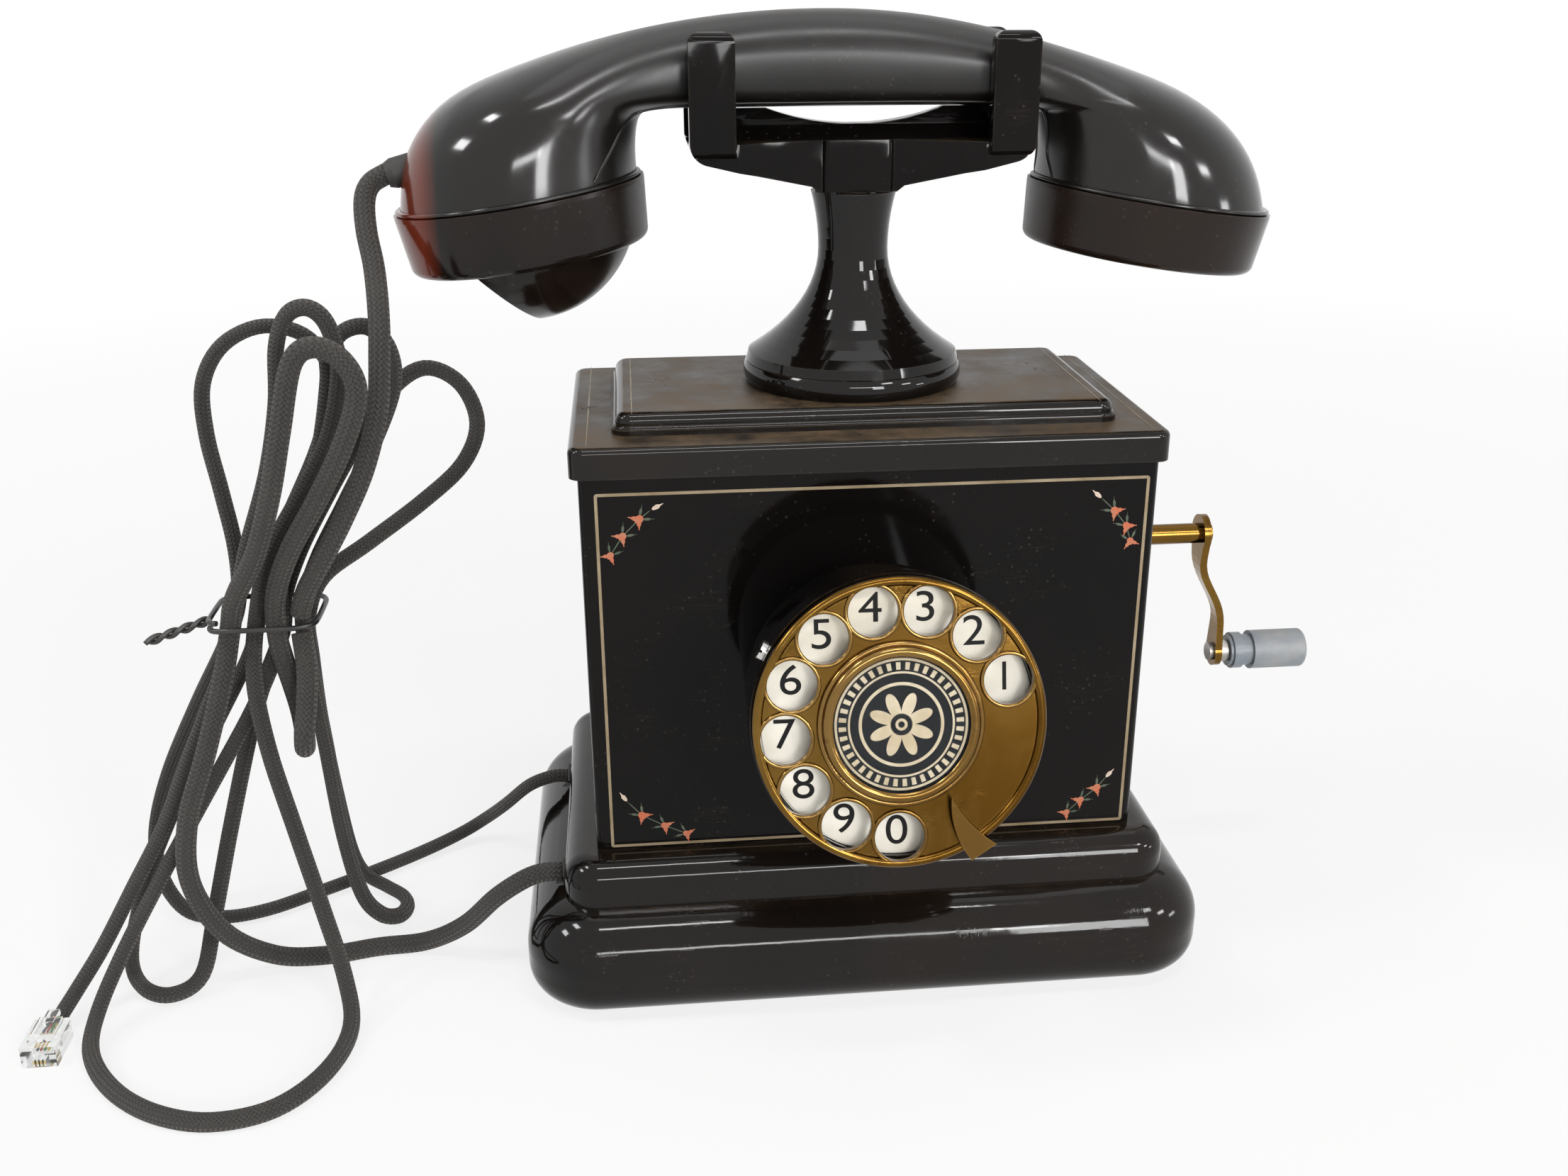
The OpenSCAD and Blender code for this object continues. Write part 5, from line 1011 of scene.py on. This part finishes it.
# %% Fine ridges along the underside of the handle, laid on the skin by casting rays at it
# Where a ray goes by under the skin, the aim moves up and outwards until it meets the skin's side.
RIDGE = [
    (-75.4, -19.7), (-72.6, -16.7), (-70.8, -13.7), (-68.8, -10.7), (-67, -7.7), (-65.2, -4.6),
    (-62.5, -1.6), (-59, 0.2), (-52.7, 1.1), (-44, 1.5), (-32, 1.8), (-20, 1.8), (-8, 1.8), (4, 1.8),
    (17, 1.8), (30, 1.6), (40, 1.3), (46, 0.6), (49.6, -1.8), (51.6, -5.2), (52.8, -9.3),
    (53.8, -13.4), (54.6, -17.6), (55.2, -20.6),
]
TRIES, AIM_STEP, AIM_FROM = 24, 0.25, 60
LEAST_Y, RIDGE_R = 5 * MM, 0.42
for side in (-1, 1):
    points = []
    for x, z in RIDGE:
        for i in range(TRIES):
            away = AIM_STEP * i
            aim = Vector((x + math.copysign(away, x), side * AIM_FROM, REST_Z + z + away)) * MM
            found, at = skin.ray_cast(aim, Vector((0, -side, 0)))[:2]
            if found and abs(at.y) > LEAST_Y:
                points.append(at / MM)
                break
    ridge = short_tube("ridge", points, RIDGE_R)
    ridge.data.uv_layers.remove(ridge.data.uv_layers[0])
    beads.append(ridge)
trim = join(beads, "handset_ridges")
bpy.ops.object.shade_smooth()
give(trim, "bakelite")
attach(trim, "handset")
print("ridges:", len(trim.data.polygons), "faces")


# %% [markdown]
# ## The cradle's rounded edges
# The cradle is a casting under thick lacquer, so all its edges are soft and each catches a thin line
# of light. A copy of the solid is merged, its flat faces are dissolved into one face each, and a
# bevel rounds what is left.

# %% Round the edges of the cradle
SHARP = math.radians(24)
yoke = copy_of("cradle_yoke", "cradle_yoke_soft")
edit(yoke)
bpy.ops.mesh.remove_doubles(threshold=0.00001)
bpy.ops.mesh.dissolve_limited(angle_limit=math.radians(1))
done()
rounder = yoke.modifiers.new("round", "BEVEL")
rounder.width = 1.5 * MM
rounder.segments = 4
rounder.limit_method = "ANGLE"
rounder.angle_limit = SHARP
rounder.harden_normals = True
bpy.ops.object.modifier_apply(modifier="round")
bpy.ops.object.shade_smooth_by_angle(angle=SHARP)
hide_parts("cradle_yoke")
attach(yoke, "cradle")
print("cradle:", len(yoke.data.polygons), "faces")


# %% [markdown]
# ## Light and floor
# The telephone stands on a plain pale floor under soft light, most of which comes from a white room
# all round. Gloss needs something to mirror, so one large lamp and eight small ones stand where
# lamps in a room would be, and leave the bright dashes on the bells, the foot and the rounded edges.

# %% Lamps: place, width, height and power
LAMP_AIM = Vector((0, 0, 0.2))
LAMPS = {
    "front_low": ((0.1, -1.5, 0.62), 0.7, 0.1, 4.5), "window": ((0.5, -1.38, 0.46), 0.3, 0.4, 7.5),
    "front_right": ((0.75, -1.15, 1.1), 0.3, 0.16, 4.2), "overhead": ((0.1, -0.55, 1.7), 0.6, 0.1, 5.0),
    "left_high": ((-1.35, -0.31, 1.15), 0.32, 0.2, 4.8), "left_top": ((-0.9, -0.18, 1.5), 0.28, 0.16, 3.8),
    "right": ((1.25, -0.98, 0.72), 0.28, 0.14, 3.2), "right_low": ((1.4, -0.6, 0.3), 0.24, 0.1, 1.2),
    "soft_top": ((0.1, 0.3, 1.6), 1.0, 0.8, 2.0),
}
for name, (at, size, tall, watts) in LAMPS.items():
    data = bpy.data.lights.new(name, "AREA")
    data.shape, data.size, data.size_y, data.energy = "RECTANGLE", size, tall, watts
    lamp = bpy.data.objects.new(name, data)
    bpy.context.scene.collection.objects.link(lamp)
    lamp.location = at
    lamp.rotation_euler = (LAMP_AIM - Vector(at)).to_track_quat("-Z", "Y").to_euler()


# %% World and floor
WHITE = (1, 1, 1, 1)


def seen_rays(tree):
    """1 for a ray that is seen, mirrored or looked through, 0 for one that only brings light."""
    path = add(tree, "ShaderNodeLightPath").outputs
    seen = maths("MAXIMUM", path["Is Camera Ray"], path["Is Glossy Ray"])
    return maths("MAXIMUM", seen, path["Is Transmission Ray"])


def surface_mix(tree, output, mask, below, above):
    mixed = add(tree, "ShaderNodeMixShader")
    for i, value in enumerate((mask, below.outputs[0], above.outputs[0])):
        put(mixed, i, value)
    feed(tree.nodes[output], Surface=mixed.outputs[0])


world = bpy.data.worlds.new("room")
bpy.context.scene.world = world
world.use_nodes = True
tree = world.node_tree
plain = tree.nodes["Background"]
feed(plain, Color=WHITE, Strength=0.25)
white = add(tree, "ShaderNodeBackground", Strength=1.0, Color=WHITE)
surface_mix(tree, "World Output", seen_rays(tree), plain, white)

floor = start("floor", bpy.ops.mesh.primitive_plane_add, size=6)
tree, shader = finish("floor", (0.86, 0.86, 0.85), Roughness=0.7)
glow = add(tree, "ShaderNodeEmission", Strength=1.0, Color=WHITE)
far = add(tree, "ShaderNodeVectorMath", operation="LENGTH", Vector=own_place(tree))
share = remap(far.outputs["Value"], 0.25, 1.2, 0.78, 1.0)
surface_mix(tree, "Material Output", times(seen_rays(tree), share), shader, glow)
give(floor, "floor")
bpy.context.scene.view_settings.view_transform = "Standard"
print("lamps:", len(LAMPS))
